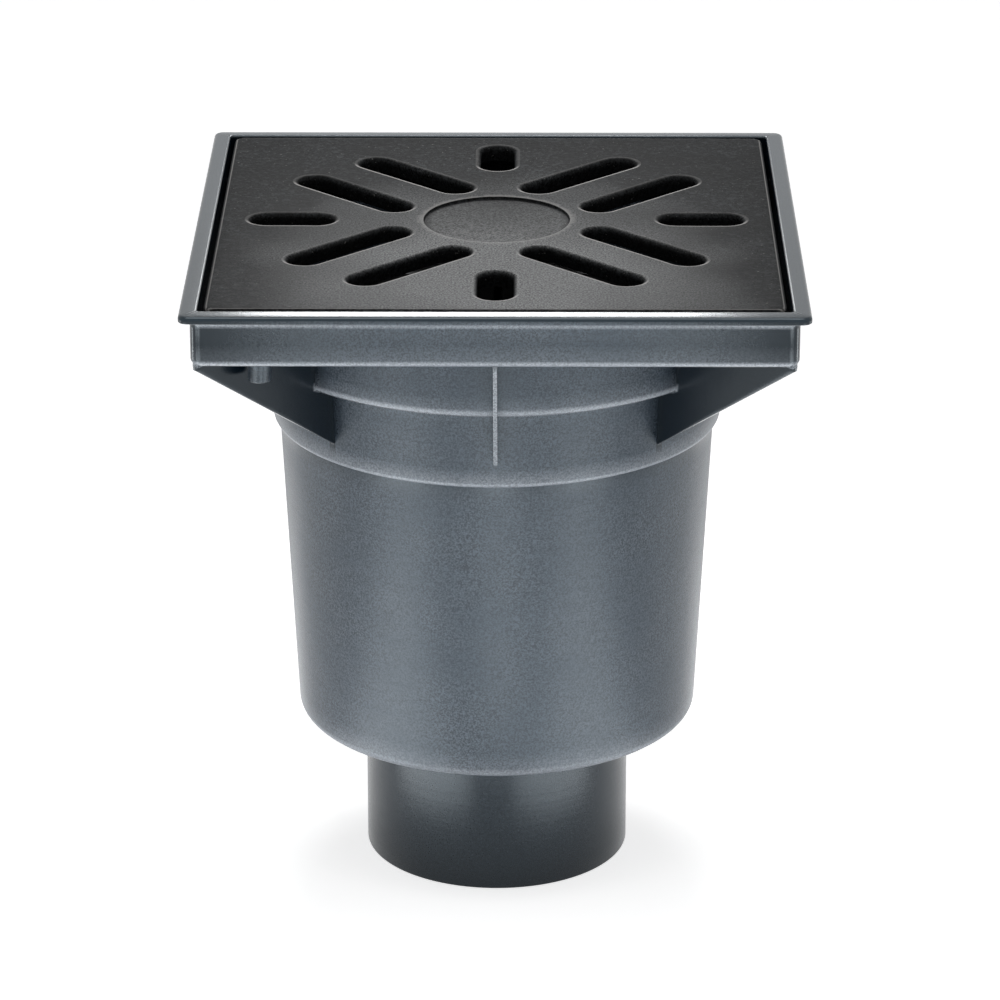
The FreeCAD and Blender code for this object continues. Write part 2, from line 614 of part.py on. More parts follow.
def make_flap_gasket():
    """The rubber ring on the flap that closes on the spout's mouth."""
    body = new_body("flap_gasket")
    ring = new_sketch(body, "gasket_ring", lift=GASKET_UNDER)
    draw_circle(ring, "0", "0", FLAP_RADIUS + " - sizes.gasket_rim")
    draw_circle(ring, "0", "0", "sizes.spout_radius - sizes.gasket_inside")
    add_pad(body, ring, "sizes.gasket_thickness")
    return body


def add_primitive(kind, name, bindings):
    """A Part primitive or boolean whose properties the sheet gives."""
    item = doc.addObject("Part::" + kind, name)
    for property_name, expression in bindings:
        item.setExpression(property_name, expression)
    return item


def lay_along_y(item, start):
    """Turn a cylinder's axis to +Y on the hinge, beginning at a distance from the middle."""
    item.Placement = Placement(Vector(0, 0, 0), Rotation(Vector(1, 0, 0), -90))
    item.setExpression("Placement.Base.x", minus(HINGE_REACH))
    item.setExpression("Placement.Base.y", start)
    item.setExpression("Placement.Base.z", HINGE_LEVEL)


def stand_at_weight(item, level):
    """Stand a piece on a level at the counterweight's place."""
    item.setExpression("Placement.Base.x", minus(WEIGHT_REACH))
    item.setExpression("Placement.Base.z", level)


def join(kind, name, base, tool):
    """A Cut or a Fuse of two pieces under the label of the piece that it makes."""
    result = doc.addObject("Part::" + kind, name)
    result.Base = base
    result.Tool = tool
    result.Label = name
    return result


def make_flap_pin():
    """The hinge pin, its head against the rear lug."""
    end = LUG_OUTSIDE + " + sizes.pin_tail"
    length = "2 * (" + LUG_OUTSIDE + ") + sizes.pin_tail"
    shank = add_primitive("Cylinder", "pin_shank", [("Radius", "sizes.pin_radius"), ("Height", length)])
    lay_along_y(shank, minus(end))
    head = add_primitive("Cylinder", "pin_head",
                         [("Radius", "sizes.pin_head_radius"), ("Height", "sizes.pin_head_thickness")])
    lay_along_y(head, LUG_OUTSIDE)
    return join("Fuse", "flap_pin", shank, head)


def make_pin_clip():
    """The spring clip on the pin's front end."""
    start = minus(LUG_OUTSIDE + " + sizes.clip_thickness")
    plate = add_primitive("Cylinder", "clip_plate",
                          [("Radius", "sizes.clip_radius"), ("Height", "sizes.clip_thickness")])
    lay_along_y(plate, start)
    hole = add_primitive("Cylinder", "clip_hole",
                         [("Radius", PIN_BORE), ("Height", "sizes.clip_thickness")])
    lay_along_y(hole, start)
    return join("Cut", "pin_clip", plate, hole)


def make_counterweight():
    """The steel disc that hangs under the flap's tail."""
    level = FLAP_UNDER + " - sizes.weight_height"
    disc = add_primitive("Cylinder", "weight_disc",
                         [("Radius", "sizes.weight_radius"), ("Height", "sizes.weight_height")])
    stand_at_weight(disc, level)
    hole = add_primitive("Cylinder", "weight_hole",
                         [("Radius", BOLT_HOLE), ("Height", "sizes.weight_height")])
    stand_at_weight(hole, level)
    return join("Cut", "counterweight", disc, hole)


def make_counterweight_bolt():
    """The bolt through the tail and the counterweight, its hexagon head on top."""
    stack = "sizes.flap_thickness + sizes.weight_height + sizes.bolt_nut + sizes.bolt_tail"
    shank = add_primitive("Cylinder", "bolt_shank", [("Radius", "sizes.bolt_radius"), ("Height", stack)])
    stand_at_weight(shank, GASKET_UNDER + " - (" + stack + ")")
    head = add_primitive("Prism", "bolt_hex",
                         [("Circumradius", HEXAGON_CORNER), ("Height", "sizes.bolt_head")])
    stand_at_weight(head, GASKET_UNDER)
    return join("Fuse", "counterweight_bolt", shank, head)


def make_counterweight_nut():
    """The nut under the counterweight."""
    level = FLAP_UNDER + " - sizes.weight_height - sizes.bolt_nut"
    hexagon = add_primitive("Prism", "nut_hex",
                            [("Circumradius", HEXAGON_CORNER), ("Height", "sizes.bolt_nut")])
    stand_at_weight(hexagon, level)
    hole = add_primitive("Cylinder", "nut_hole",
                         [("Radius", BOLT_HOLE), ("Height", "sizes.bolt_nut")])
    stand_at_weight(hole, level)
    return join("Cut", "counterweight_nut", hexagon, hole)


pieces = [
    make_gully_body(),
    make_grate(),
    make_sludge_bucket(),
    make_trap_funnel(),
    make_funnel_seal(),
    make_trap_flap(),
    make_flap_gasket(),
    make_flap_pin(),
    make_pin_clip(),
    make_counterweight(),
    make_counterweight_bolt(),
    make_counterweight_nut(),
]
doc.recompute()

for item in doc.Objects:
    if "Invalid" in item.State or "Error" in item.State:
        raise RuntimeError(item.Name + " did not build")
for piece in pieces:
    if piece.Shape.isNull() or not piece.Shape.isValid() or len(piece.Shape.Solids) != 1:
        raise RuntimeError(piece.Label + " is not one valid solid")

os.makedirs("parts", exist_ok=True)
for piece in pieces:
    piece.Shape.exportStep("parts/" + piece.Label + ".step")
    box = piece.Shape.BoundBox
    print("%-20s volume %9.0f  x %7.1f %7.1f  y %7.1f %7.1f  z %7.1f %7.1f" % (
        piece.Label, piece.Shape.Volume, box.XMin, box.XMax, box.YMin, box.YMax, box.ZMin, box.ZMax))
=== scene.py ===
import bpy
import bmesh
import json
import math
import numpy as np
from mathutils import Euler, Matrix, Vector
from mathutils.geometry import delaunay_2d_cdt


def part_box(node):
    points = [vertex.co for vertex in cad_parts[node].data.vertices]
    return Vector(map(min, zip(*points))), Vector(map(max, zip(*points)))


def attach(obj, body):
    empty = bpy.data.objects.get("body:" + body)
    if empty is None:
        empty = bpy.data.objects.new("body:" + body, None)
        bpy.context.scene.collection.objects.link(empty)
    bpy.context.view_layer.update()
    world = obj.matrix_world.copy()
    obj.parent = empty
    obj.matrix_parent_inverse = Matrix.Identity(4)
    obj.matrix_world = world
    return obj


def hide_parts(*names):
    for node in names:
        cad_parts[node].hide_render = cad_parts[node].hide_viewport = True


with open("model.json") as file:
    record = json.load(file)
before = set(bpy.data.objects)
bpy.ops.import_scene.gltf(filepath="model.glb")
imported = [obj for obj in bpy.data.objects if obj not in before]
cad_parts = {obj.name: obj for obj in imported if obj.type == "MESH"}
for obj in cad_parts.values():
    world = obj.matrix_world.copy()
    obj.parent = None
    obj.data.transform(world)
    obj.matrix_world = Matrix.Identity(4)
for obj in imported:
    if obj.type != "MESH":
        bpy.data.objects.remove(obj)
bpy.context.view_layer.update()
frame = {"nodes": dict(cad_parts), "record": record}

# A yard gully: plastic housing with its square frame, iron grate, and the inserts inside.
# Lengths are in metres, so a size written in millimetres is multiplied by MM.
MM = 0.001

# The two shapes that a turn round the housing can have.
SQUARE, ROUND = 0, 1

_, housing_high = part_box("gully_body")
grate_low, grate_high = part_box("grate")

# Levels above the outlet's end, counted down from the frame's top.
TOP = housing_high.z
LIP_UNDER = TOP - 3.3 * MM
FLOOR_UNDER = TOP - 22.5 * MM
RING_UNDER = TOP - 49.4 * MM
THROAT_UNDER = TOP - 82.5 * MM
POT_UNDER = TOP - 212.8 * MM
WEB_FOOT = TOP - 73.4 * MM
WALL = 3.0 * MM
FLOOR_TOP = FLOOR_UNDER + WALL

# Radii and half widths from the outlet's axis.
FRAME_HALF = housing_high.x
BOX_HALF = FRAME_HALF - 4.2 * MM
RECESS_HALF = BOX_HALF - WALL
RING = 102.5 * MM
THROAT_TOP = 93.5 * MM
THROAT = 92.0 * MM
POT_TOP = 89.4 * MM
POT_FOOT = 82.8 * MM
OUTLET = 55.0 * MM
OUTLET_BORE = OUTLET - 3.2 * MM

# Webs under the four corners, ribs under the middles of the sides, one peg.
WEB_HALF_THICKNESS = 1.2 * MM
RIB_HALF_THICKNESS = 0.85 * MM
WEB_END = 1.6 * MM
WEB_REACH = BOX_HALF * math.sqrt(2) - 2.5 * MM
RIB_REACH = BOX_HALF - 1.0 * MM
PEG_RADIUS = 4.7 * MM
PEG_END = TOP - 32.2 * MM
PEG_PLACE = (-91.6 * MM, -104.0 * MM)
PEG_ROUNDING = 0.6 * MM
BRACKET_EDGE = 0.3 * MM
ROOT_FILLET = 0.12 * MM

# Corner radii in plan, then the housing's roundings and fillets from its lip down and back up inside.
FRAME_CORNER = 4.0 * MM
BOX_CORNER = 4.5 * MM
RECESS_CORNER = 1.5 * MM
SMALLEST_CORNER = 0.2 * MM
LIP_SLOPE = 0.45 * MM
LIP_INNER_ROUNDING = 0.9 * MM
LIP_OUTER_ROUNDING = 1.5 * MM
LIP_UNDER_ROUNDING = 0.4 * MM
LIP_FILLET = 3.2 * MM
BOX_ROUNDING = 3.0 * MM
STEP_FILLET = 0.9 * MM
RING_ROUNDING = 4.2 * MM
THROAT_ROUNDING = 2.5 * MM
POT_TOP_FILLET = 0.15 * MM
POT_ROUNDING = 5.0 * MM
OUTLET_ROUNDING = 0.9 * MM
INNER_ROUNDING = 0.4 * MM
MOUTH_ROUNDING = 0.5 * MM
POT_FLOOR_FILLET = 2.0 * MM
LEDGE_ROUNDING = 0.6 * MM
RECESS_FILLET = 0.8 * MM

# The grate.
GRATE_HALF = grate_high.x - 0.3 * MM
GRATE_UNDER = grate_low.z
PLATE_UNDER = TOP - 7.0 * MM
BORDER = 7.0 * MM
GRATE_CORNER = 4.5 * MM
GRATE_EDGE = 1.5 * MM
GRATE_FOOT = 0.6 * MM
SLOT_RADIUS = 7.1 * MM
SLOT_ROUNDING = 2.0 * MM
SLOT_DRAFT = 1.1 * MM
SLOT_FRINGE = 0.4 * MM
SLOT_OFFSET = 17.55 * MM
SLOT_INNER = 41.9 * MM
SLOT_OUTER = 89.8 * MM
GRIP_INNER = 73.1 * MM
GRIP_OUTER = 93.2 * MM
DISC_RADIUS = 29.6 * MM
DISC_DEPTH = 1.2 * MM
DISC_RIM = 0.5 * MM

# Where feet wear the grate and a pool of light is painted on it: the middle of that patch, and its half width
# and half length.
WEAR_AND_LIGHT_POOL_MIDDLE = -68 * MM
WEAR_AND_LIGHT_POOL_WIDTH = 105 * MM
WEAR_AND_LIGHT_POOL_LENGTH = 125 * MM

# Edges between faces that meet at more than this many degrees are shaded sharp.
SHARP_ANGLE = 40

# How much smoother and darker, from 0 to 1, the plastic is at its pipe end and peg, and how much shade is
# painted beside its webs and under its step; the peg's dark is painted shade too, the pipe end's in part.
PIPE_POLISH_AND_SHADE = 0.7
PEG_POLISH_AND_SHADE = 0.6
WEB_PAINTED_SHADE = 0.85
STEP_PAINTED_SHADE = 0.5

# How strong, from 0 to 1, the highlight painted on the fillet under the lip and on the ribs' free edges is.
LIP_FILLET_HIGHLIGHT = 0.3
RIB_EDGE_HIGHLIGHT = 0.4

# Light: what the world gives to matt surfaces, and what the floor adds for the camera alone.
WORLD_FILL = 0.15
FLOOR_GLOW = 0.75

# Light strips on the table: name, angle from straight in front, inner and outer end, width, watts.
STRIP_HEIGHT = 4 * MM
TABLE_STRIPS = (
    ("front_left_strip", -48, 0.12, 0.80, 0.16, 1.5),
    ("front_right_strip", 42, 0.12, 0.80, 0.16, 1.3),
    ("back_left_strip", -135, 0.12, 0.80, 0.10, 0.2),
    ("back_right_strip", 135, 0.12, 0.80, 0.10, 0.2),
    ("front_left_fan", -30, 0.50, 0.80, 0.18, 0.8),
    ("front_right_fan", 30, 0.50, 0.80, 0.18, 0.8),
    ("front_strip", 0, 0.20, 0.60, 0.10, 0.65),
    ("back_strip", 180, 0.20, 0.60, 0.10, 0.5),
    ("far_front_strip", 0, 0.60, 1.00, 0.08, 1.6),
    ("far_right_strip", 90, 0.60, 1.00, 0.10, 1.2),
    ("far_left_strip", -90, 0.60, 1.00, 0.10, 1.2),
    ("far_back_strip", 180, 0.60, 1.00, 0.10, 2.5),
)

# The photograph's camera: place in metres, tilt and turn in degrees, lens and sensor in millimetres.
CAMERA_PLACE = (0.01104, -1.8661, 0.8828)
CAMERA_TILT = 68.632
CAMERA_TURN = 0.298
CAMERA_LENS = 173.33
CAMERA_SENSOR = 36.0


# Numbers and flat shapes that both pieces use.


def smooth_noise(x, y, cell, seed):
    """Random heights from -1 to 1 on a square lattice of this cell, blended smoothly between its corners."""
    size = 64
    lattice = np.random.default_rng(seed).uniform(-1.0, 1.0, (size, size))
    u = np.asarray(x) / cell + size / 2
    v = np.asarray(y) / cell + size / 2
    left = np.floor(u).astype(int)
    low = np.floor(v).astype(int)
    across = u - left
    up = v - low
    across = across * across * (3 - 2 * across)
    up = up * up * (3 - 2 * up)
    corner = [[lattice[(left + i) % size, (low + j) % size] for i in (0, 1)] for j in (0, 1)]
    below = corner[0][0] * (1 - across) + corner[0][1] * across
    above = corner[1][0] * (1 - across) + corner[1][1] * across
    return below * (1 - up) + above * up


def ramp(values, low, high):
    """A straight rise from 0 at low to 1 at high, clamped at both ends."""
    return np.clip((values - low) / (high - low), 0, 1)


def band(values, low, high):
    """1 between two values, falling to 0 over a tenth of a millimetre outside them."""
    soft = 0.1 * MM
    return ramp(values, low - soft, low) * (1 - ramp(values, high, high + soft))


def circle(radius, count=120):
    """Points round a circle about the middle."""
    angles = np.linspace(0, 2 * math.pi, count, endpoint=False)
    return np.stack([radius * np.cos(angles), radius * np.sin(angles)], axis=1)


def square_loop(half):
    """Points round a plain square, in short steps."""
    run = np.linspace(-half, half, 41)[:-1]
    side = np.full(run.size, half)
    return np.concatenate([np.stack(pair, axis=1) for pair in
                           ((run, -side), (side, run), (-run, side), (-side, -run))])


def turned(along, across, turn):
    """Points given along and across a line through the middle, turned to that line's angle."""
    return np.stack([along * math.cos(turn) - across * math.sin(turn),
                     along * math.sin(turn) + across * math.cos(turn)], axis=1)


def at_level(flat, level):
    """Flat points lifted to a level."""
    return np.column_stack([flat, np.full(len(flat), level)])


# Meshes.


def grid_faces(rows, columns, close_rows=False, close_columns=False):
    """Corner numbers of the squares of a grid of points stored row by row, closed either way if asked."""
    row = np.arange(rows if close_rows else rows - 1)[:, None]
    column = np.arange(columns if close_columns else columns - 1)[None, :]
    next_row = (row + 1) % rows
    next_column = (column + 1) % columns
    corners = (row * columns + column, row * columns + next_column,
               next_row * columns + next_column, next_row * columns + column)
    return np.stack([np.broadcast_to(c, (row.size, column.size)).ravel() for c in corners], axis=1)


def make_object(name, points, faces):
    """A mesh object at the origin from an array of points and a list of faces."""
    mesh = bpy.data.meshes.new(name)
    mesh.from_pydata(np.asarray(points).tolist(), [], [list(map(int, f)) for f in faces])
    mesh.validate()
    mesh.update()
    piece = bpy.data.objects.new(name, mesh)
    bpy.context.scene.collection.objects.link(piece)
    return piece


def facing_out(piece):
    """Turn every face of a closed mesh outwards."""
    work = bmesh.new()
    work.from_mesh(piece.data)
    bmesh.ops.remove_doubles(work, verts=work.verts, dist=0.002 * MM)
    bmesh.ops.recalc_face_normals(work, faces=work.faces)
    work.to_mesh(piece.data)
    work.free()


def shade(piece):
    """Smooth shading, with sharp edges where two faces meet at more than the sharp angle."""
    piece.data.shade_smooth()
    piece.data.set_sharp_from_angle(angle=math.radians(SHARP_ANGLE))


def vertex_places(piece):
    """Three arrays, the x, y and z of every vertex of a piece."""
    points = np.empty(len(piece.data.vertices) * 3)
    piece.data.vertices.foreach_get("co", points)
    return points.reshape(-1, 3).T


def set_attribute(piece, name, values):
    """Keep one number for every vertex of a piece under a name that its material reads."""
    attribute = piece.data.attributes.new(name, "FLOAT", "POINT")
    attribute.data.foreach_set("value", values.astype(np.float32))


# The housing.


def square_reach(angle, half, corner):
    """Distance from the middle to a rounded square at an angle: to its straight side or its corner's arc.

    The arc's centre lies on the diagonal. Along the ray, the distance is the projection of that centre plus
    the half chord that the arc's circle cuts off."""
    turn = np.mod(angle + math.pi / 4, math.pi / 2) - math.pi / 4
    side = half / np.cos(turn)
    centre = half - corner
    from_diagonal = math.pi / 4 - np.abs(turn)
    across = centre * math.sqrt(2)
    chord = corner ** 2 - (across * np.sin(from_diagonal)) ** 2
    arc = across * np.cos(from_diagonal) + np.sqrt(np.maximum(chord, 0.0))
    on_arc = half * np.tan(np.abs(turn)) > centre
    return np.where(on_arc, arc, side)


def rounded_section(corners, steps=6):
    """A closed section with each corner given as reach, level, rounding radius and shape.

    A corner with a rounding becomes an arc that is tangent to both its sides. The result lists reach, level,
    shape and the corner's own reach."""
    made = []
    count = len(corners)
    for k, (reach, level, radius, shape) in enumerate(corners):
        here = np.array((reach, level))
        before = np.array(corners[k - 1][:2]) - here
        after = np.array(corners[(k + 1) % count][:2]) - here
        before = before / np.linalg.norm(before)
        after = after / np.linalg.norm(after)
        half_angle = math.acos(np.clip(before @ after, -1, 1)) / 2
        if radius <= 0 or half_angle > math.radians(89):
            made.append((reach, level, shape, reach))
            continue
        bisector = (before + after) / np.linalg.norm(before + after)
        centre = here + bisector * radius / math.sin(half_angle)
        start = here + before * radius / math.tan(half_angle) - centre
        end = here + after * radius / math.tan(half_angle) - centre
        sweep = math.pi - 2 * half_angle
        for t in np.linspace(0, 1, steps + 1):
            point = (start * math.sin((1 - t) * sweep) + end * math.sin(t * sweep)) / math.sin(sweep) + centre
            made.append((point[0], point[1], shape, reach))
    return made


def housing_angles():
    """Angles round the housing: every two degrees, and finer where the square's corners are."""
    wide = np.arange(0, 90, 2.0)
    wide = wide[np.abs(wide - 45) > 5]
    before = np.arange(-5, -1.5, 0.7)
    fine = np.arange(-1.4, 1.41, 0.14)
    after = np.arange(2.2, 5.1, 0.7)
    near = 45 + np.concatenate([before, fine, after])
    quarter = np.sort(np.concatenate([wide, near]))
    return np.radians(np.concatenate([quarter + 90 * k for k in range(4)]))


def corner_for(own_reach):
    """The corner radius in plan that belongs to a square of this half width."""
    if own_reach > BOX_HALF + 0.1 * MM:
        return FRAME_CORNER
    if own_reach > RECESS_HALF + 0.1 * MM:
        return BOX_CORNER
    return RECESS_CORNER


def ring_points(angles, reach, level, shape, own_reach):
    """One turn round the housing at a level, as a circle or as a rounded square offset from its own size."""
    if shape == ROUND:
        radius = np.full_like(angles, reach)
    else:
        corner = max(corner_for(own_reach) + reach - own_reach, SMALLEST_CORNER)
        radius = square_reach(angles, reach, corner)
    return at_level(np.stack([radius * np.cos(angles), radius * np.sin(angles)], axis=1), level)


def wall_waves(points):
    """How far the moulded round walls stray from a true circle, as a share of the radius: long soft waves."""
    x, y, z = points.T
    angle = np.arctan2(y, x)
    oval = 0.00022 * np.sin(2 * angle + 0.6)
    five_sided = 0.00013 * np.sin(5 * angle + 40 * z)
    round_part = ramp(THROAT_UNDER - z, 0, 30 * MM) * (np.hypot(x, y) > OUTLET + 5 * MM)
    return (oval + five_sided) * round_part


def make_skin():
    """The housing's wall: a closed section carried once round, square at the top and round below.

    Between two turns that lie far apart the points are shared out evenly, which also turns the square box
    into the round ring across the flat floor."""
    section = rounded_section([
        (RECESS_HALF, TOP, LIP_INNER_ROUNDING, SQUARE),
        (FRAME_HALF, TOP - LIP_SLOPE, LIP_OUTER_ROUNDING, SQUARE),
        (FRAME_HALF, LIP_UNDER, LIP_UNDER_ROUNDING, SQUARE),
        (BOX_HALF, LIP_UNDER, LIP_FILLET, SQUARE),
        (BOX_HALF, FLOOR_UNDER, BOX_ROUNDING, SQUARE),
        (RING, FLOOR_UNDER, STEP_FILLET, ROUND),
        (RING, RING_UNDER, RING_ROUNDING, ROUND),
        (THROAT_TOP, RING_UNDER, STEP_FILLET, ROUND),
        (THROAT, THROAT_UNDER, THROAT_ROUNDING, ROUND),
        (POT_TOP, THROAT_UNDER, POT_TOP_FILLET, ROUND),
        (POT_FOOT, POT_UNDER, POT_ROUNDING, ROUND),
        (OUTLET, POT_UNDER, STEP_FILLET, ROUND),
        (OUTLET, 0.0, OUTLET_ROUNDING, ROUND),
        (OUTLET_BORE, 0.0, INNER_ROUNDING, ROUND),
        (OUTLET_BORE, POT_UNDER + WALL, MOUTH_ROUNDING, ROUND),
        (POT_FOOT - WALL, POT_UNDER + WALL, POT_FLOOR_FILLET, ROUND),
        (POT_TOP - WALL, THROAT_UNDER + WALL, INNER_ROUNDING, ROUND),
        (THROAT - WALL, THROAT_UNDER + WALL, INNER_ROUNDING, ROUND),
        (THROAT_TOP - WALL, RING_UNDER + WALL, INNER_ROUNDING, ROUND),
        (RING - WALL, RING_UNDER + WALL, LEDGE_ROUNDING, ROUND),
        (RING - WALL, FLOOR_TOP, MOUTH_ROUNDING, ROUND),
        (RECESS_HALF, FLOOR_TOP, RECESS_FILLET, SQUARE),
    ])
    angles = housing_angles()
    turns = [ring_points(angles, *row) for row in section]
    longest = 7.0 * MM
    rows = []
    for k, turn in enumerate(turns):
        after = (k + 1) % len(turns)
        span = section[k][0] - section[after][0]
        rise = section[k][1] - section[after][1]
        pieces = max(1, math.ceil(math.hypot(span, rise) / longest))
        rows += [turn + (turns[after] - turn) * (n / pieces) for n in range(pieces)]
    points = np.concatenate(rows)
    points[:, :2] *= 1 + wall_waves(points)[:, None]
    return points, grid_faces(len(rows), len(angles), close_rows=True, close_columns=True)


def wall_radius(level):
    """Outside radius of the ring or throat that a web or rib meets at a level."""
    slope = (THROAT_TOP - THROAT) / (RING_UNDER - THROAT_UNDER)
    throat = THROAT + (level - THROAT_UNDER) * slope
    return np.where(level > RING_UNDER + WALL / 2, RING, throat)


def bracket_outer(level, reach):
    """How far out a web or rib goes at a level: upright at its end, then sloping in to its foot."""
    end_level = FLOOR_UNDER - WEB_END
    slope = (reach - THROAT) / (end_level - WEB_FOOT)
    return np.minimum(reach, THROAT + (level - WEB_FOOT) * slope)


def fillet(distance, radius):
    """Extra half thickness beside a wall: a quarter circle that is tangent to the wall and to the web."""
    inside = np.clip(radius - distance, 0, radius)
    return radius - np.sqrt(radius ** 2 - inside ** 2)


def stacked(rows):
    """Points and faces of a solid from closed rows of equally many points, with a flat face at both ends."""
    width = len(rows[0])
    faces = grid_faces(len(rows), width, close_columns=True).tolist()
    faces.append(list(range(width))[::-1])
    faces.append(list(range((len(rows) - 1) * width, len(rows) * width)))
    return np.concatenate(rows), faces


def make_bracket(reach, turn, half_thickness):
    """A web or rib: level sections from inside the wall to a sloping outer edge, stacked from floor to foot.

    Each section runs out along one face, round the edge and back along the other. Its thickness grows near
    the wall and the floor by the fillet's quarter circle."""
    end_level = FLOOR_UNDER - WEB_END
    ring_end = RING_UNDER + WALL / 2
    levels = np.concatenate([
        np.linspace(FLOOR_UNDER + WALL / 2, FLOOR_UNDER, 3)[:-1],
        np.linspace(FLOOR_UNDER, end_level, 6)[:-1],
        np.linspace(end_level, ring_end + 0.01 * MM, 14),
        np.linspace(ring_end, WEB_FOOT - 1.0 * MM, 18),
    ])
    share = np.concatenate([np.linspace(0, 0.25, 9)[:-1], np.linspace(0.25, 1, 12)])
    bend = np.linspace(0, math.pi / 2, 5)[1:]
    rows = []
    for level in levels:
        wall = float(wall_radius(level))
        inner = wall - WALL / 2
        outer = max(float(bracket_outer(level, reach)), inner + 2 * BRACKET_EDGE)
        straight_end = outer - BRACKET_EDGE
        along = inner + (straight_end - inner) * share
        half = (half_thickness + fillet(along - wall, ROOT_FILLET)
                + fillet(np.full_like(along, FLOOR_UNDER - level), ROOT_FILLET))
        along = np.concatenate([along, straight_end + BRACKET_EDGE * np.sin(bend)])
        half = np.concatenate([half, half[-1] - BRACKET_EDGE + BRACKET_EDGE * np.cos(bend)])
        along = np.concatenate([along, along[::-1]])
        across = np.concatenate([half, -half[::-1]])
        rows.append(at_level(turned(along, across, turn), level))
    return stacked(rows)


def make_peg():
    """The round peg under the floor: a turned section with a fillet at its root and a rounded end."""
    bend = np.linspace(0, math.pi / 2, 6)
    radius = [PEG_RADIUS + ROOT_FILLET]
    level = [FLOOR_UNDER + WALL / 2]
    radius += list(PEG_RADIUS + ROOT_FILLET * (1 - np.sin(bend)))
    level += list(FLOOR_UNDER - ROOT_FILLET * (1 - np.cos(bend)))
    radius += list(PEG_RADIUS - PEG_ROUNDING * (1 - np.cos(bend)))
    level += list(PEG_END + PEG_ROUNDING * (1 - np.sin(bend)))
    return stacked([at_level(circle(r, 48) + PEG_PLACE, z) for r, z in zip(radius, level)])


def from_nearest(x, y, first):
    """Distances along and across the nearest of four planes a quarter turn apart, the first at this angle."""
    turn = np.mod(np.arctan2(y, x) - first + math.pi / 4, math.pi / 2) - math.pi / 4
    radius = np.hypot(x, y)
    return radius * np.cos(turn), np.abs(radius * np.sin(turn))


def painted_edge_highlights(x, y, z, on_brackets):
    """How strong the highlight painted on the edges is, from 0 to 1.

    These are the roundings under the box, ring, throat and pot, each over its own height and less at its very
    bottom, then the fillet under the lip, and the free edges of the ribs."""
    radius = np.hypot(x, y)
    reach = np.maximum(np.abs(x), np.abs(y))
    edge_highlight = np.zeros_like(z)
    # Painted highlight on the lower roundings.
    for under, height, size, measure, share in (
            (FLOOR_UNDER, 3.2 * MM, BOX_HALF, reach, 0.53),
            (RING_UNDER, 4.6 * MM, RING, radius, 0.42),
            (THROAT_UNDER, 3.2 * MM, THROAT, radius, 0.42),
            (POT_UNDER, 5.5 * MM, POT_FOOT, radius, 0.36)):
        near = (z > under - 0.05 * MM) * (measure < size + 0.5 * MM) * (measure > size - 0.85 * height)
        lower = 0.45 + 0.55 * ramp(z, under + 0.1 * height, under + 0.4 * height)
        edge_highlight += share * near * lower * (1 - ramp(z, under + 0.6 * height, under + height))
    # Painted highlight on the fillet under the lip.
    below_lip = band(z, LIP_UNDER - 3.0 * MM, LIP_UNDER - 1.4 * MM)
    edge_highlight += LIP_FILLET_HIGHLIGHT * below_lip * band(reach, BOX_HALF, BOX_HALF + 1.8 * MM)
    # Painted highlight on the ribs' free edges.
    along, across = from_nearest(x, y, 0.0)
    rib_end = bracket_outer(z, RIB_REACH)
    on_edge = ramp(along, rib_end - 0.6 * MM, rib_end - 0.2 * MM)
    edge_highlight += RIB_EDGE_HIGHLIGHT * on_edge * on_brackets * band(across, 0.0, RIB_HALF_THICKNESS)
    return np.clip(edge_highlight, 0, 1)


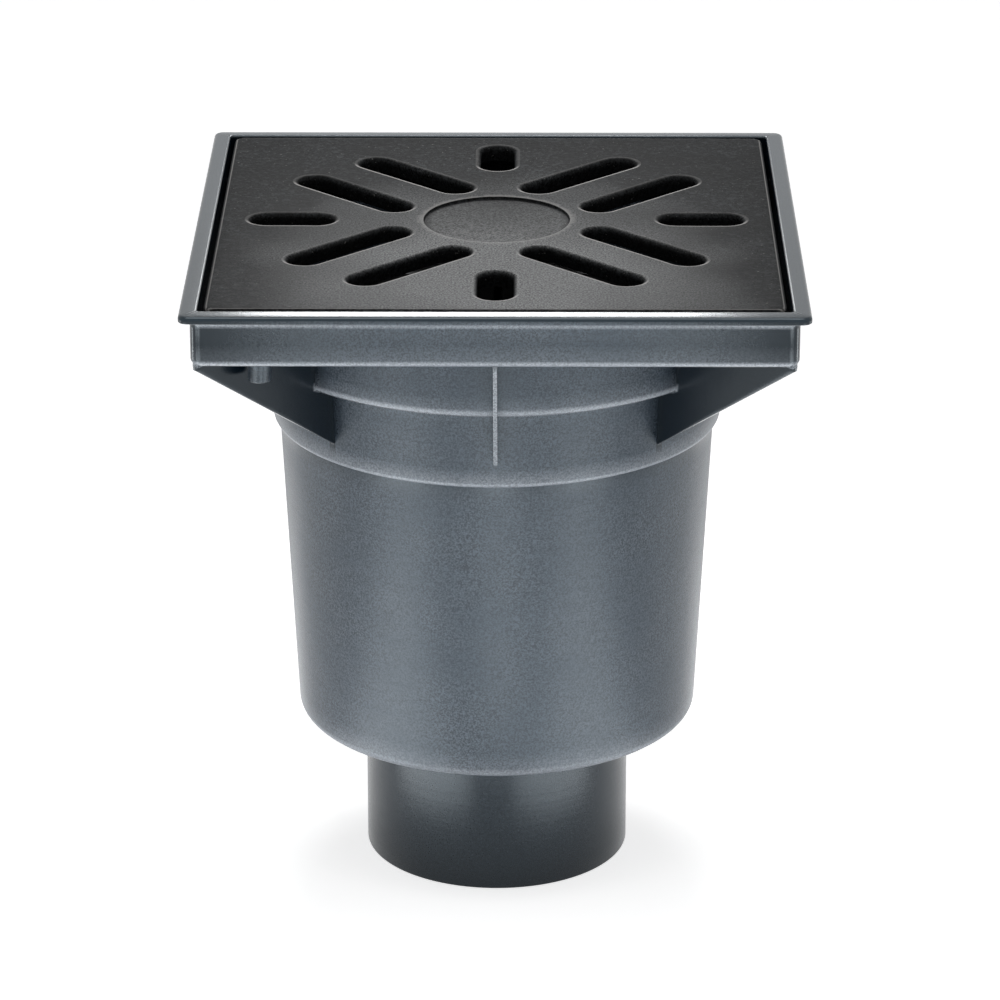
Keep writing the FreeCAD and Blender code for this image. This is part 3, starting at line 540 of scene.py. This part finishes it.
def mark_finishes(piece):
    """Three point attributes for the plastic: how much smoother and darker it is, where the dark is mostly
    painted shade; how strong the highlight painted on its edges is; and where the lip's top is.

    Smoother and darker are the webs and ribs, the pipe end, the peg, the lip's top, the rim of the recess,
    the box towards its corners and the webs' roots; on all but the lip's top the dark is painted shade, on
    the pipe end in part. Softer painted shade lies beside the webs and under the throat's step."""
    x, y, z = vertex_places(piece)
    radius = np.hypot(x, y)
    reach = np.maximum(np.abs(x), np.abs(y))
    along_side = np.minimum(np.abs(x), np.abs(y))
    from_web = from_nearest(x, y, math.pi / 4)[1]
    off_peg = np.hypot(x - PEG_PLACE[0], y - PEG_PLACE[1]) > PEG_RADIUS + ROOT_FILLET
    above_floor = z > FLOOR_UNDER
    below_floor = 1 - ramp(z, FLOOR_UNDER - 0.5 * MM, FLOOR_UNDER)
    outside_throat = below_floor * (radius > THROAT - 1 * MM)
    # Webs and ribs: smoother, and their dark is painted shade.
    brackets = ramp(radius - wall_radius(z), 0.05 * MM, 0.5 * MM)
    brackets *= (z > WEB_FOOT - 2 * MM) * off_peg * below_floor
    # Pipe end: smoother and darker, the dark partly painted shade under the pot.
    pipe = (radius < OUTLET + 0.5 * MM) * (1 - ramp(z, POT_UNDER - STEP_FILLET, POT_UNDER))
    lip = (reach > RECESS_HALF + 0.8 * MM) * ramp(z, TOP - 2.0 * MM, TOP - 1.5 * MM)
    # Painted shade on the rim of the recess beside the grate.
    recess = (reach < RECESS_HALF + 0.7 * MM) * (reach > RECESS_HALF - 1.5 * MM) * above_floor
    # Painted shade on the box towards its corners.
    box_ends = ramp(along_side, 45 * MM, 110 * MM) * (reach > BOX_HALF - 2 * MM) * above_floor
    # Painted shade on the webs' roots.
    web_root = (from_web < WEB_HALF_THICKNESS + 0.4 * MM) * (z > WEB_FOOT - 1.5 * MM) * outside_throat
    # Painted shade on the ring and throat beside the webs.
    beside_web = (1 - ramp(from_web, WEB_HALF_THICKNESS, WEB_HALF_THICKNESS + 10 * MM)) ** 1.5
    beside_web *= ramp(z, WEB_FOOT - 1 * MM, WEB_FOOT + 4 * MM) * outside_throat
    # Painted shade on the pot under the throat's step.
    under_step = ramp(z, THROAT_UNDER - 5 * MM, THROAT_UNDER - 1.5 * MM)
    under_step *= (z < THROAT_UNDER + 0.1 * MM) * (radius < POT_TOP + 0.2 * MM)
    # Peg: smoother, and its dark is painted shade.
    peg = (1 - off_peg) * below_floor
    polish_and_shade = np.max([brackets, lip, recess, box_ends, web_root, PIPE_POLISH_AND_SHADE * pipe, PEG_POLISH_AND_SHADE * peg,
                     WEB_PAINTED_SHADE * beside_web, STEP_PAINTED_SHADE * under_step], axis=0)
    # Painted highlight on the edges.
    edge_highlight = painted_edge_highlights(x, y, z, brackets)
    set_attribute(piece, "polish_and_painted_shade", polish_and_shade * (1 - edge_highlight))
    set_attribute(piece, "painted_edge_highlight", edge_highlight)
    set_attribute(piece, "lip_top", lip)


def make_housing():
    """The housing as one moulding: its wall united with the webs, ribs and peg."""
    housing = make_object("housing", *make_skin())
    facing_out(housing)
    additions = []
    for k in range(4):
        additions.append(make_bracket(WEB_REACH, math.radians(45 + 90 * k), WEB_HALF_THICKNESS))
        additions.append(make_bracket(RIB_REACH, math.radians(90 * k), RIB_HALF_THICKNESS))
    additions.append(make_peg())
    for points, faces in additions:
        part = make_object("addition", points, faces)
        facing_out(part)
        union = housing.modifiers.new("union", "BOOLEAN")
        union.operation = "UNION"
        union.solver = "MANIFOLD"
        union.object = part
        bpy.context.view_layer.update()
        finished = housing.evaluated_get(bpy.context.evaluated_depsgraph_get())
        united = bpy.data.meshes.new_from_object(finished)
        housing.modifiers.clear()
        housing.data = united
        bpy.data.objects.remove(part)
    shade(housing)
    mark_finishes(housing)
    return housing


# The grate casting.


def obround(slot, radius):
    """Points round a slot: two half circles joined by straight lines in short steps."""
    start, end, offset, turn = slot
    step = 2.0 * MM
    bend = np.linspace(-math.pi / 2, math.pi / 2, 17)
    run = np.linspace(0, 1, max(2, int((end - start) / step)) + 1)[1:-1]
    along = np.concatenate([end + radius * np.cos(bend), end + (start - end) * run,
                            start - radius * np.cos(bend), start + (end - start) * run])
    across = np.concatenate([offset + radius * np.sin(bend), np.full(run.size, offset + radius),
                             offset - radius * np.sin(bend), np.full(run.size, offset - radius)])
    return turned(along, across, turn)


def grate_outline(inset):
    """Points round the grate's outer edge, offset inwards by inset, the straight sides in short steps."""
    corner = max(GRATE_CORNER - inset, 0.3 * MM)
    half = GRATE_HALF - inset
    centre = half - corner
    bend = np.linspace(0, math.pi / 2, 9)
    run = np.linspace(1, -1, 80)[1:-1] * (GRATE_HALF - GRATE_CORNER)
    across = np.concatenate([centre + corner * np.cos(bend), run])
    up = np.concatenate([centre + corner * np.sin(bend), np.full(run.size, half)])
    return np.concatenate([turned(across, up, k * math.pi / 2) for k in range(4)])


def slot_list():
    """Start, end, offset and turn of the twelve slots."""
    slots = []
    for k in range(4):
        diagonal = math.radians(45 + 90 * k)
        slots.append((SLOT_INNER, SLOT_OUTER, SLOT_OFFSET, diagonal))
        slots.append((SLOT_INNER, SLOT_OUTER, -SLOT_OFFSET, diagonal))
        slots.append((GRIP_INNER, GRIP_OUTER, 0.0, math.radians(90 * k)))
    return slots


def inside_loop(points, loop):
    """Which points lie inside a closed loop: their ray to the right crosses it an odd number of times."""
    x = points[:, 0][:, None]
    y = points[:, 1][:, None]
    end = np.roll(loop, -1, axis=0)
    crosses = (loop[:, 1] > y) != (end[:, 1] > y)
    rise = end[:, 1] - loop[:, 1]
    rise = np.where(rise == 0, 1e-12, rise)
    at = loop[:, 0] + (y - loop[:, 1]) * (end[:, 0] - loop[:, 0]) / rise
    return (crosses & (x < at)).sum(axis=1) % 2 == 1


def within(points, outline, holes):
    """Which points lie inside an outline and outside every hole."""
    wanted = inside_loop(points, outline)
    for hole in holes:
        wanted &= ~inside_loop(points, hole)
    return wanted


class Shell:
    """Points and faces gathered from strips and flat sheets."""

    def __init__(self):
        self.points = []
        self.faces = []
        self.count = 0

    def strip(self, turns):
        """A strip through closed turns of equally many points."""
        rows = np.stack(turns)
        faces = grid_faces(rows.shape[0], rows.shape[1], close_columns=True)
        self.faces += (faces + self.count).tolist()
        self.points.append(rows.reshape(-1, 3))
        self.count += rows.shape[0] * rows.shape[1]

    def sheet(self, outline, holes, level, spacing):
        """A flat sheet inside an outline and outside its holes, with a lattice of inner points."""
        loops = [outline] + holes
        rims = np.concatenate(loops)
        edges = []
        start = 0
        for loop in loops:
            index = np.arange(start, start + len(loop))
            edges += np.stack([index, np.roll(index, -1)], axis=1).tolist()
            start += len(loop)
        low = outline.min(axis=0)
        high = outline.max(axis=0)
        x, y = np.meshgrid(np.arange(low[0], high[0], spacing), np.arange(low[1], high[1], spacing))
        inner = np.stack([x.ravel() + spacing / 2, y.ravel() + spacing / 2], axis=1)
        keep = within(inner, outline, holes)
        for part in np.array_split(rims, max(1, len(rims) // 200)):
            gap = np.linalg.norm(inner[:, None, :] - part[None, :, :], axis=2).min(axis=1)
            keep &= gap > spacing * 0.6
        points = np.concatenate([rims, inner[keep]])
        made, _, triangles, *_ = delaunay_2d_cdt([Vector(p) for p in points], edges, [], 0, 1e-7)
        made = np.array([tuple(p) for p in made])
        triangles = np.array([tuple(t) for t in triangles if len(t) == 3])
        triangles = triangles[within(made[triangles].mean(axis=1), outline, holes)]
        self.faces += (triangles + self.count).tolist()
        self.points.append(at_level(made, level))
        self.count += len(made)


def cast_unevenness(points):
    """Small rises and dips of the cast surface, strongest at the top and gone below the plate."""
    x, y, z = points.T
    rise = 0.035 * MM * smooth_noise(x, y, 9 * MM, 3) + 0.02 * MM * smooth_noise(x, y, 4 * MM, 4)
    dip = 0.08 * MM * smooth_noise(x, y, 60 * MM, 5)
    sunk = 0.12 * MM
    return (rise + dip - sunk) * ramp(z, PLATE_UNDER, TOP)


def mark_wear_and_painted_light(piece):
    """Two point attributes for the grate: the wear that feet leave on its top together with a painted pool of
    light, and the highlights painted on its rims.

    The wear and the painted light are strongest in the middle and towards the front. A painted highlight lies
    just outside the rounding of every slot, strongest on the sides that face the front. Fainter painted
    highlights run round the disc and along the outer edge."""
    x, y, z = vertex_places(piece)
    from_middle = np.hypot(x, y)
    from_side = GRATE_HALF - np.maximum(np.abs(x), np.abs(y))
    from_wear_and_light_pool = np.hypot(x / WEAR_AND_LIGHT_POOL_WIDTH, (y - WEAR_AND_LIGHT_POOL_MIDDLE) / WEAR_AND_LIGHT_POOL_LENGTH)
    from_wear_and_light_pool += 0.12 * smooth_noise(x, y, 22 * MM, 9)
    # Wear of feet and a painted pool of light, strongest in the middle and towards the front.
    worn_and_lit = (1 - ramp(from_wear_and_light_pool, 0.35, 1.0)) * ramp(z, TOP - 2.5 * MM, TOP - 1.5 * MM)
    worn_and_lit *= ramp(from_side, 0.6 * MM, 0.9 * MM)
    # Painted highlights on the rims of the slots, the disc and the outer edge.
    edge = np.zeros_like(z)
    for start, end, offset, turn in slot_list():
        along = x * math.cos(turn) + y * math.sin(turn)
        across = -x * math.sin(turn) + y * math.cos(turn) - offset
        beyond = along - np.clip(along, start, end)
        from_slot = np.hypot(beyond, across) - SLOT_RADIUS
        toward_front = -(beyond * math.sin(turn) + across * math.cos(turn)) / (from_slot + SLOT_RADIUS)
        fringe = ramp(from_slot, 0.4 * SLOT_ROUNDING, 0.6 * SLOT_ROUNDING)
        fringe *= 1 - ramp(from_slot, SLOT_ROUNDING + SLOT_FRINGE / 4, SLOT_ROUNDING + SLOT_FRINGE)
        edge = np.maximum(edge, fringe * (0.1 + 0.9 * ramp(toward_front, 0.1, 0.6)))
        worn_and_lit *= ramp(from_slot, 0.1 * SLOT_ROUNDING, 0.75 * SLOT_ROUNDING)
    edge = np.maximum(edge, 0.6 * band(from_side, 0.9 * MM, 1.4 * MM))
    edge = np.maximum(edge, 0.4 * band(from_middle, DISC_RADIUS + 0.3 * MM, DISC_RADIUS + DISC_RIM))
    worn_and_lit *= 1 - band(from_middle, DISC_RADIUS - DISC_RIM, DISC_RADIUS + 0.2 * MM)
    worn_and_lit *= 1 - 0.25 * (from_middle < DISC_RADIUS)
    set_attribute(piece, "wear_and_light_pool", worn_and_lit)
    set_attribute(piece, "painted_rim_highlight", edge * ramp(z, TOP - 1.8 * MM, TOP - 1.4 * MM))


def slot_walls(slot):
    """Closed turns down a slot: two on the flat top, its quarter circle rounding, then its sloping wall."""
    turns = []
    for beyond in (SLOT_FRINGE, SLOT_FRINGE / 2):
        turns.append(at_level(obround(slot, SLOT_RADIUS + SLOT_ROUNDING + beyond), TOP))
    for b in np.linspace(0, math.pi / 2, 7):
        radius = SLOT_RADIUS + SLOT_ROUNDING * (1 - math.sin(b))
        turns.append(at_level(obround(slot, radius), TOP - SLOT_ROUNDING * (1 - math.cos(b))))
    for share in np.linspace(0, 1, 4)[1:]:
        level = TOP - SLOT_ROUNDING + (PLATE_UNDER - TOP + SLOT_ROUNDING) * share
        turns.append(at_level(obround(slot, SLOT_RADIUS + SLOT_DRAFT * share), level))
    return turns


def disc_wall():
    """Closed turns round the sunk disc: a quarter circle over its rim, then one into its floor."""
    turns = []
    bend = np.linspace(0, math.pi / 2, 7)
    for b in bend:
        radius = DISC_RADIUS + DISC_RIM * (1 - math.sin(b))
        turns.append(at_level(circle(radius), TOP - DISC_RIM * (1 - math.cos(b))))
    for b in bend[1:]:
        radius = DISC_RADIUS - DISC_RIM * (1 - math.cos(b))
        turns.append(at_level(circle(radius), TOP - DISC_DEPTH + DISC_RIM * (1 - math.sin(b))))
    return turns


def grate_side():
    """Closed turns down the grate's side: its rounded top edge, its upright side and its narrower foot."""
    turns = []
    for b in np.linspace(0, math.pi / 2, 7):
        outline = grate_outline(GRATE_EDGE - GRATE_EDGE * math.sin(b))
        turns.append(at_level(outline, TOP - GRATE_EDGE * (1 - math.cos(b))))
    for level in np.linspace(TOP - GRATE_EDGE, GRATE_UNDER + GRATE_FOOT, 5)[1:]:
        turns.append(at_level(grate_outline(0.0), level))
    turns.append(at_level(grate_outline(GRATE_FOOT), GRATE_UNDER))
    return turns


def make_grate():
    """The grate: a flat top with rounded slots and edges, a sunk disc, a hollow underside inside its border.

    Every rounding is a quarter circle carried round its outline, and the flat parts between are sheets of
    small triangles whose heights follow the casting's soft unevenness."""
    slots = slot_list()
    border_inside = square_loop(GRATE_HALF - BORDER)
    holes_top = [obround(slot, SLOT_RADIUS + SLOT_ROUNDING + SLOT_FRINGE) for slot in slots]
    holes_under = [obround(slot, SLOT_RADIUS + SLOT_DRAFT) for slot in slots]
    shell = Shell()
    shell.strip(grate_side())
    shell.strip([at_level(border_inside, GRATE_UNDER), at_level(border_inside, PLATE_UNDER)])
    for slot in slots:
        shell.strip(slot_walls(slot))
    shell.strip(disc_wall())
    shell.sheet(circle(DISC_RADIUS - DISC_RIM), [], TOP - DISC_DEPTH, 2.0 * MM)
    shell.sheet(grate_outline(GRATE_EDGE), holes_top + [circle(DISC_RADIUS + DISC_RIM)], TOP, 2.2 * MM)
    shell.sheet(border_inside, holes_under, PLATE_UNDER, 8.0 * MM)
    shell.sheet(grate_outline(GRATE_FOOT), [border_inside], GRATE_UNDER, 6.0 * MM)
    points = np.concatenate(shell.points)
    points[:, 2] += cast_unevenness(points)
    grate = make_object("grate_casting", points, shell.faces)
    facing_out(grate)
    shade(grate)
    mark_wear_and_painted_light(grate)
    return grate


# Materials.


def new_material(name):
    """A material with its nodes, links and shader, and the place of each point in its piece."""
    material = bpy.data.materials.new(name)
    material.use_nodes = True
    nodes = material.node_tree.nodes
    shader = nodes["Principled BSDF"]
    place = nodes.new("ShaderNodeTexCoord")
    return material, nodes, material.node_tree.links, shader, place.outputs["Object"]


def noise(nodes, links, place, scale, detail, roughness, stretch=None):
    """A noise pattern whose size is 1 / scale metres, stretched along an axis if asked."""
    if stretch:
        mapping = nodes.new("ShaderNodeMapping")
        mapping.inputs["Scale"].default_value = stretch
        links.new(place, mapping.inputs["Vector"])
        place = mapping.outputs["Vector"]
    texture = nodes.new("ShaderNodeTexNoise")
    texture.inputs["Scale"].default_value = scale
    texture.inputs["Detail"].default_value = detail
    texture.inputs["Roughness"].default_value = roughness
    links.new(place, texture.inputs["Vector"])
    return texture.outputs["Fac"]


def spread(nodes, links, value, low, high, out_low=0.0, out_high=1.0):
    """Stretch a value from one range to another, and clamp it."""
    node = nodes.new("ShaderNodeMapRange")
    node.inputs["From Min"].default_value = low
    node.inputs["From Max"].default_value = high
    node.inputs["To Min"].default_value = out_low
    node.inputs["To Max"].default_value = out_high
    links.new(value, node.inputs["Value"])
    return node.outputs["Result"]


def blend(nodes, links, share, first, second):
    """Mix two colours by a share. Each colour is three numbers or another node's colour."""
    node = nodes.new("ShaderNodeMix")
    node.data_type = "RGBA"
    links.new(share, node.inputs["Factor"])
    for colour, socket in ((first, node.inputs[6]), (second, node.inputs[7])):
        if isinstance(colour, tuple):
            socket.default_value = (*colour, 1)
        else:
            links.new(colour, socket)
    return node.outputs[2]


def bump(nodes, links, shader, layers, strength=None):
    """Stack bumps on a shader: each layer is a height value and its depth in metres."""
    normal = None
    for height, depth in layers:
        node = nodes.new("ShaderNodeBump")
        node.inputs["Strength"].default_value = 1.0
        node.inputs["Distance"].default_value = depth
        if strength is not None:
            links.new(strength, node.inputs["Strength"])
        links.new(height, node.inputs["Height"])
        if normal is not None:
            links.new(normal, node.inputs["Normal"])
        normal = node.outputs["Normal"]
    links.new(normal, shader.inputs["Normal"])


def read_attribute(nodes, name):
    """The value of one of the piece's own point attributes."""
    node = nodes.new("ShaderNodeAttribute")
    node.attribute_name = name
    return node.outputs["Fac"]


def moulded_plastic():
    """The housing's fine matt plastic: dark blue grey, speckled, with faint flow lines round the walls.

    Its webs and pipe end are smoother and darker; the dark is painted shade, on the pipe end in part. Its
    lower edges are painted a little lighter as a highlight."""
    material, nodes, links, shader, place = new_material("moulded_plastic")
    dark_grain, light_grain = (0.002, 0.004, 0.008), (0.066, 0.081, 0.100)
    patch_blue = (0.017, 0.026, 0.038)
    # Dark colour of the smoother places, mostly painted shade.
    dark_polish_and_shade = (0.002, 0.005, 0.009)
    lip_blue = (0.010, 0.019, 0.028)
    highlight_dark, highlight_light = (0.22, 0.24, 0.27), (0.44, 0.47, 0.51)
    polished_roughness = 0.2
    speckle = noise(nodes, links, place, 1250, 3.0, 0.8)
    mottle = noise(nodes, links, place, 35, 4.0, 0.55)
    flow = noise(nodes, links, place, 30, 3.0, 0.5, (0.15, 0.15, 14))
    polish_and_shade = read_attribute(nodes, "polish_and_painted_shade")
    grain = spread(nodes, links, speckle, 0.40, 0.60)
    patches = spread(nodes, links, mottle, 0.35, 0.65, 0.0, 0.5)
    colour = blend(nodes, links, grain, dark_grain, light_grain)
    colour = blend(nodes, links, patches, colour, patch_blue)
    colour = blend(nodes, links, polish_and_shade, colour, dark_polish_and_shade)
    colour = blend(nodes, links, read_attribute(nodes, "lip_top"), colour, lip_blue)
    # Colour of the painted highlight on the edges.
    edge_highlight = blend(nodes, links, grain, highlight_dark, highlight_light)
    colour = blend(nodes, links, read_attribute(nodes, "painted_edge_highlight"), colour, edge_highlight)
    links.new(colour, shader.inputs["Base Color"])
    textured = spread(nodes, links, speckle, 0.3, 0.7, 0.32, 0.45)
    roughness = nodes.new("ShaderNodeMix")
    links.new(polish_and_shade, roughness.inputs["Factor"])
    links.new(textured, roughness.inputs["A"])
    roughness.inputs["B"].default_value = polished_roughness
    links.new(roughness.outputs["Result"], shader.inputs["Roughness"])
    shader.inputs["IOR"].default_value = 1.45
    shader.inputs["Specular Tint"].default_value = (0.82, 0.93, 1.0, 1)
    calm = spread(nodes, links, polish_and_shade, 0.0, 1.0, 1.0, 0.25)
    bump(nodes, links, shader, [(flow, 0.10 * MM), (mottle, 0.3 * MM), (speckle, 0.10 * MM)], calm)
    return material


def cast_iron():
    """The grate's sand cast iron: near black and grainy, lighter in the middle where feet rub it and a pool
    of light is painted, with painted highlights on its rims.
    """
    material, nodes, links, shader, place = new_material("cast_iron")
    dark_grain, light_grain = (0.002, 0.002, 0.002), (0.032, 0.034, 0.036)
    blotch_grey = (0.060, 0.064, 0.068)
    cloud_black = (0.012, 0.012, 0.012)
    worn_and_lit_dark, worn_and_lit_light = (0.029, 0.030, 0.031), (0.243, 0.249, 0.252)
    rim_highlight_grey = (0.42, 0.41, 0.40)
    speck_grey = (0.24, 0.235, 0.225)
    sand = noise(nodes, links, place, 1300, 3.0, 0.7)
    coarse = noise(nodes, links, place, 420, 3.0, 0.65)
    cloud = noise(nodes, links, place, 22, 4.0, 0.6)
    dots = noise(nodes, links, place, 700, 2.0, 0.6)
    grain = spread(nodes, links, sand, 0.38, 0.62)
    blotches = spread(nodes, links, coarse, 0.50, 0.66, 0.0, 0.5)
    clouds = spread(nodes, links, cloud, 0.35, 0.65, 0.0, 0.6)
    # Painted highlights on the rims.
    rims = spread(nodes, links, read_attribute(nodes, "painted_rim_highlight"), 0.0, 1.0, 0.0, 0.85)
    specks = spread(nodes, links, dots, 0.68, 0.74, 0.0, 0.5)
    colour = blend(nodes, links, grain, dark_grain, light_grain)
    colour = blend(nodes, links, blotches, colour, blotch_grey)
    colour = blend(nodes, links, clouds, colour, cloud_black)
    # Wear together with a painted pool of light.
    worn_and_lit = blend(nodes, links, grain, worn_and_lit_dark, worn_and_lit_light)
    colour = blend(nodes, links, read_attribute(nodes, "wear_and_light_pool"), colour, worn_and_lit)
    colour = blend(nodes, links, rims, colour, rim_highlight_grey)
    colour = blend(nodes, links, specks, colour, speck_grey)
    links.new(colour, shader.inputs["Base Color"])
    shader.inputs["IOR"].default_value = 1.055
    links.new(spread(nodes, links, sand, 0.3, 0.7, 0.30, 0.44), shader.inputs["Roughness"])
    bump(nodes, links, shader, [(cloud, 0.3 * MM), (coarse, 0.08 * MM), (sand, 0.05 * MM)])
    return material


def insert_plastic():
    """The bucket's and trap's plastic: black, matt, slightly uneven."""
    material, nodes, links, shader, place = new_material("insert_plastic")
    speckle = noise(nodes, links, place, 1500, 2.0, 0.7)
    grain = spread(nodes, links, speckle, 0.3, 0.7)
    colour = blend(nodes, links, grain, (0.008, 0.008, 0.009), (0.016, 0.016, 0.018))
    links.new(colour, shader.inputs["Base Color"])
    links.new(spread(nodes, links, speckle, 0.3, 0.7, 0.5, 0.65), shader.inputs["Roughness"])
    bump(nodes, links, shader, [(speckle, 0.06 * MM)])
    return material


def seal_rubber():
    """Black rubber with a dull bloom."""
    material, nodes, links, shader, place = new_material("seal_rubber")
    bloom = noise(nodes, links, place, 120, 4.0, 0.7)
    dull = spread(nodes, links, bloom, 0.4, 0.7)
    colour = blend(nodes, links, dull, (0.010, 0.010, 0.010), (0.024, 0.024, 0.025))
    links.new(colour, shader.inputs["Base Color"])
    links.new(spread(nodes, links, bloom, 0.3, 0.7, 0.7, 0.9), shader.inputs["Roughness"])
    bump(nodes, links, shader, [(bloom, 0.05 * MM)])
    return material


def plain_steel():
    """Turned stainless steel with fine tool marks and small tarnished spots."""
    material, nodes, links, shader, place = new_material("plain_steel")
    marks = noise(nodes, links, place, 900, 2.0, 0.5, (1, 1, 9))
    spots = noise(nodes, links, place, 150, 4.0, 0.6)
    tarnish = spread(nodes, links, spots, 0.5, 0.75)
    colour = blend(nodes, links, tarnish, (0.52, 0.52, 0.53), (0.34, 0.33, 0.32))
    links.new(colour, shader.inputs["Base Color"])
    shader.inputs["Metallic"].default_value = 1.0
    links.new(spread(nodes, links, marks, 0.3, 0.7, 0.28, 0.45), shader.inputs["Roughness"])
    bump(nodes, links, shader, [(marks, 0.03 * MM)])
    return material


def finish_piece(piece, material, body):
    """Give a new piece its material, body and the record's slot."""
    piece.data.materials.clear()
    piece.data.materials.append(material)
    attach(piece, body)


def dress_nodes(materials):
    """Give every CAD node the material of its slot."""
    slot_of = {row["node"]: row["material_slot"] for row in frame["record"]["subparts"]}
    for name, node in frame["nodes"].items():
        node.data.materials.clear()
        node.data.materials.append(materials[slot_of[name]])


# The studio: floor, light and camera.


def make_floor():
    """A pale floor that is white to the camera and keeps the gully's soft shadow."""
    size = 6.0
    points = [(-size, -size, 0), (size, -size, 0), (size, size, 0), (-size, size, 0)]
    floor = make_object("floor", points, [(0, 1, 2, 3)])
    material = bpy.data.materials.new("white_table")
    material.use_nodes = True
    nodes, links = material.node_tree.nodes, material.node_tree.links
    shader = nodes["Principled BSDF"]
    shader.inputs["Base Color"].default_value = (0.85, 0.85, 0.85, 1)
    shader.inputs["Roughness"].default_value = 0.9
    glow = nodes.new("ShaderNodeEmission")
    glow.inputs["Color"].default_value = (1, 1, 1, 1)
    path = nodes.new("ShaderNodeLightPath")
    seen = path.outputs["Is Camera Ray"]
    for ray in ("Is Glossy Ray", "Is Transmission Ray"):
        either = nodes.new("ShaderNodeMath")
        either.operation = "MAXIMUM"
        links.new(seen, either.inputs[0])
        links.new(path.outputs[ray], either.inputs[1])
        seen = either.outputs[0]
    boost = nodes.new("ShaderNodeMath")
    boost.operation = "MULTIPLY"
    boost.inputs[1].default_value = FLOOR_GLOW
    links.new(seen, boost.inputs[0])
    links.new(boost.outputs[0], glow.inputs["Strength"])
    both = nodes.new("ShaderNodeAddShader")
    links.new(shader.outputs[0], both.inputs[0])
    links.new(glow.outputs[0], both.inputs[1])
    links.new(both.outputs[0], nodes["Material Output"].inputs["Surface"])
    floor.data.materials.append(material)


def make_world():
    """White all round for the camera and for reflections, and a soft even light for everything else."""
    world = bpy.data.worlds.new("studio")
    bpy.context.scene.world = world
    world.use_nodes = True
    nodes, links = world.node_tree.nodes, world.node_tree.links
    background = nodes["Background"]
    background.inputs["Color"].default_value = (1, 1, 1, 1)
    path = nodes.new("ShaderNodeLightPath")
    level = spread(nodes, links, path.outputs["Is Diffuse Ray"], 0.0, 1.0, 1.0, WORLD_FILL)
    links.new(level, background.inputs["Strength"])


def add_lamp(name, size, watts):
    """A rectangular area lamp that the camera doesn't see."""
    lamp = bpy.data.lights.new(name, "AREA")
    lamp.shape = "RECTANGLE"
    lamp.size, lamp.size_y = size
    lamp.energy = watts
    holder = bpy.data.objects.new(name, lamp)
    bpy.context.scene.collection.objects.link(holder)
    holder.visible_camera = False
    return holder


def add_softbox(name, place, target, size, watts):
    """A lamp at a place that faces a point."""
    holder = add_lamp(name, size, watts)
    holder.location = place
    holder.rotation_euler = (Vector(target) - Vector(place)).to_track_quat("-Z", "Y").to_euler()


def add_table_strip(name, turn, inner, outer, width, watts):
    """A light strip lying on the table like a wheel's spoke, at an angle from straight in front.

    The round walls mirror the strips as soft upright streaks, and their light lifts the undersides."""
    holder = add_lamp(name, (outer - inner, width), watts)
    angle = math.radians(turn - 90)
    middle = (inner + outer) / 2
    holder.location = (middle * math.cos(angle), middle * math.sin(angle), STRIP_HEIGHT)
    holder.rotation_euler = (math.pi, 0, angle)


def make_camera():
    """The photograph's camera: in front, looking down by about 21 degrees, with a long lens."""
    data = bpy.data.cameras.new("camera")
    data.sensor_width = CAMERA_SENSOR
    data.lens = CAMERA_LENS
    data.clip_end = 50.0
    camera = bpy.data.objects.new("camera", data)
    bpy.context.scene.collection.objects.link(camera)
    camera.location = CAMERA_PLACE
    camera.rotation_euler = Euler((math.radians(CAMERA_TILT), 0.0, math.radians(CAMERA_TURN)))
    bpy.context.scene.camera = camera


# The scene.
materials = {
    "housing_plastic": moulded_plastic(),
    "cast_iron": cast_iron(),
    "insert_plastic": insert_plastic(),
    "seal_rubber": seal_rubber(),
    "steel": plain_steel(),
}
dress_nodes(materials)

housing = make_housing()
finish_piece(housing, materials["housing_plastic"], "housing")
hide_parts("gully_body")

grate = make_grate()
finish_piece(grate, materials["cast_iron"], "housing")
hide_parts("grate")

make_floor()
make_world()
for strip in TABLE_STRIPS:
    add_table_strip(*strip)
add_softbox("back_panel", (-0.01, 0.34, 0.49), (-0.01, -0.12, 0.27), (0.225, 0.10), 1.05)
add_softbox("overhead_softbox", (0, -0.3, 1.8), (0, 0, 0.2), (0.9, 0.9), 12)
make_camera()
bpy.context.scene.view_settings.view_transform = "Standard"
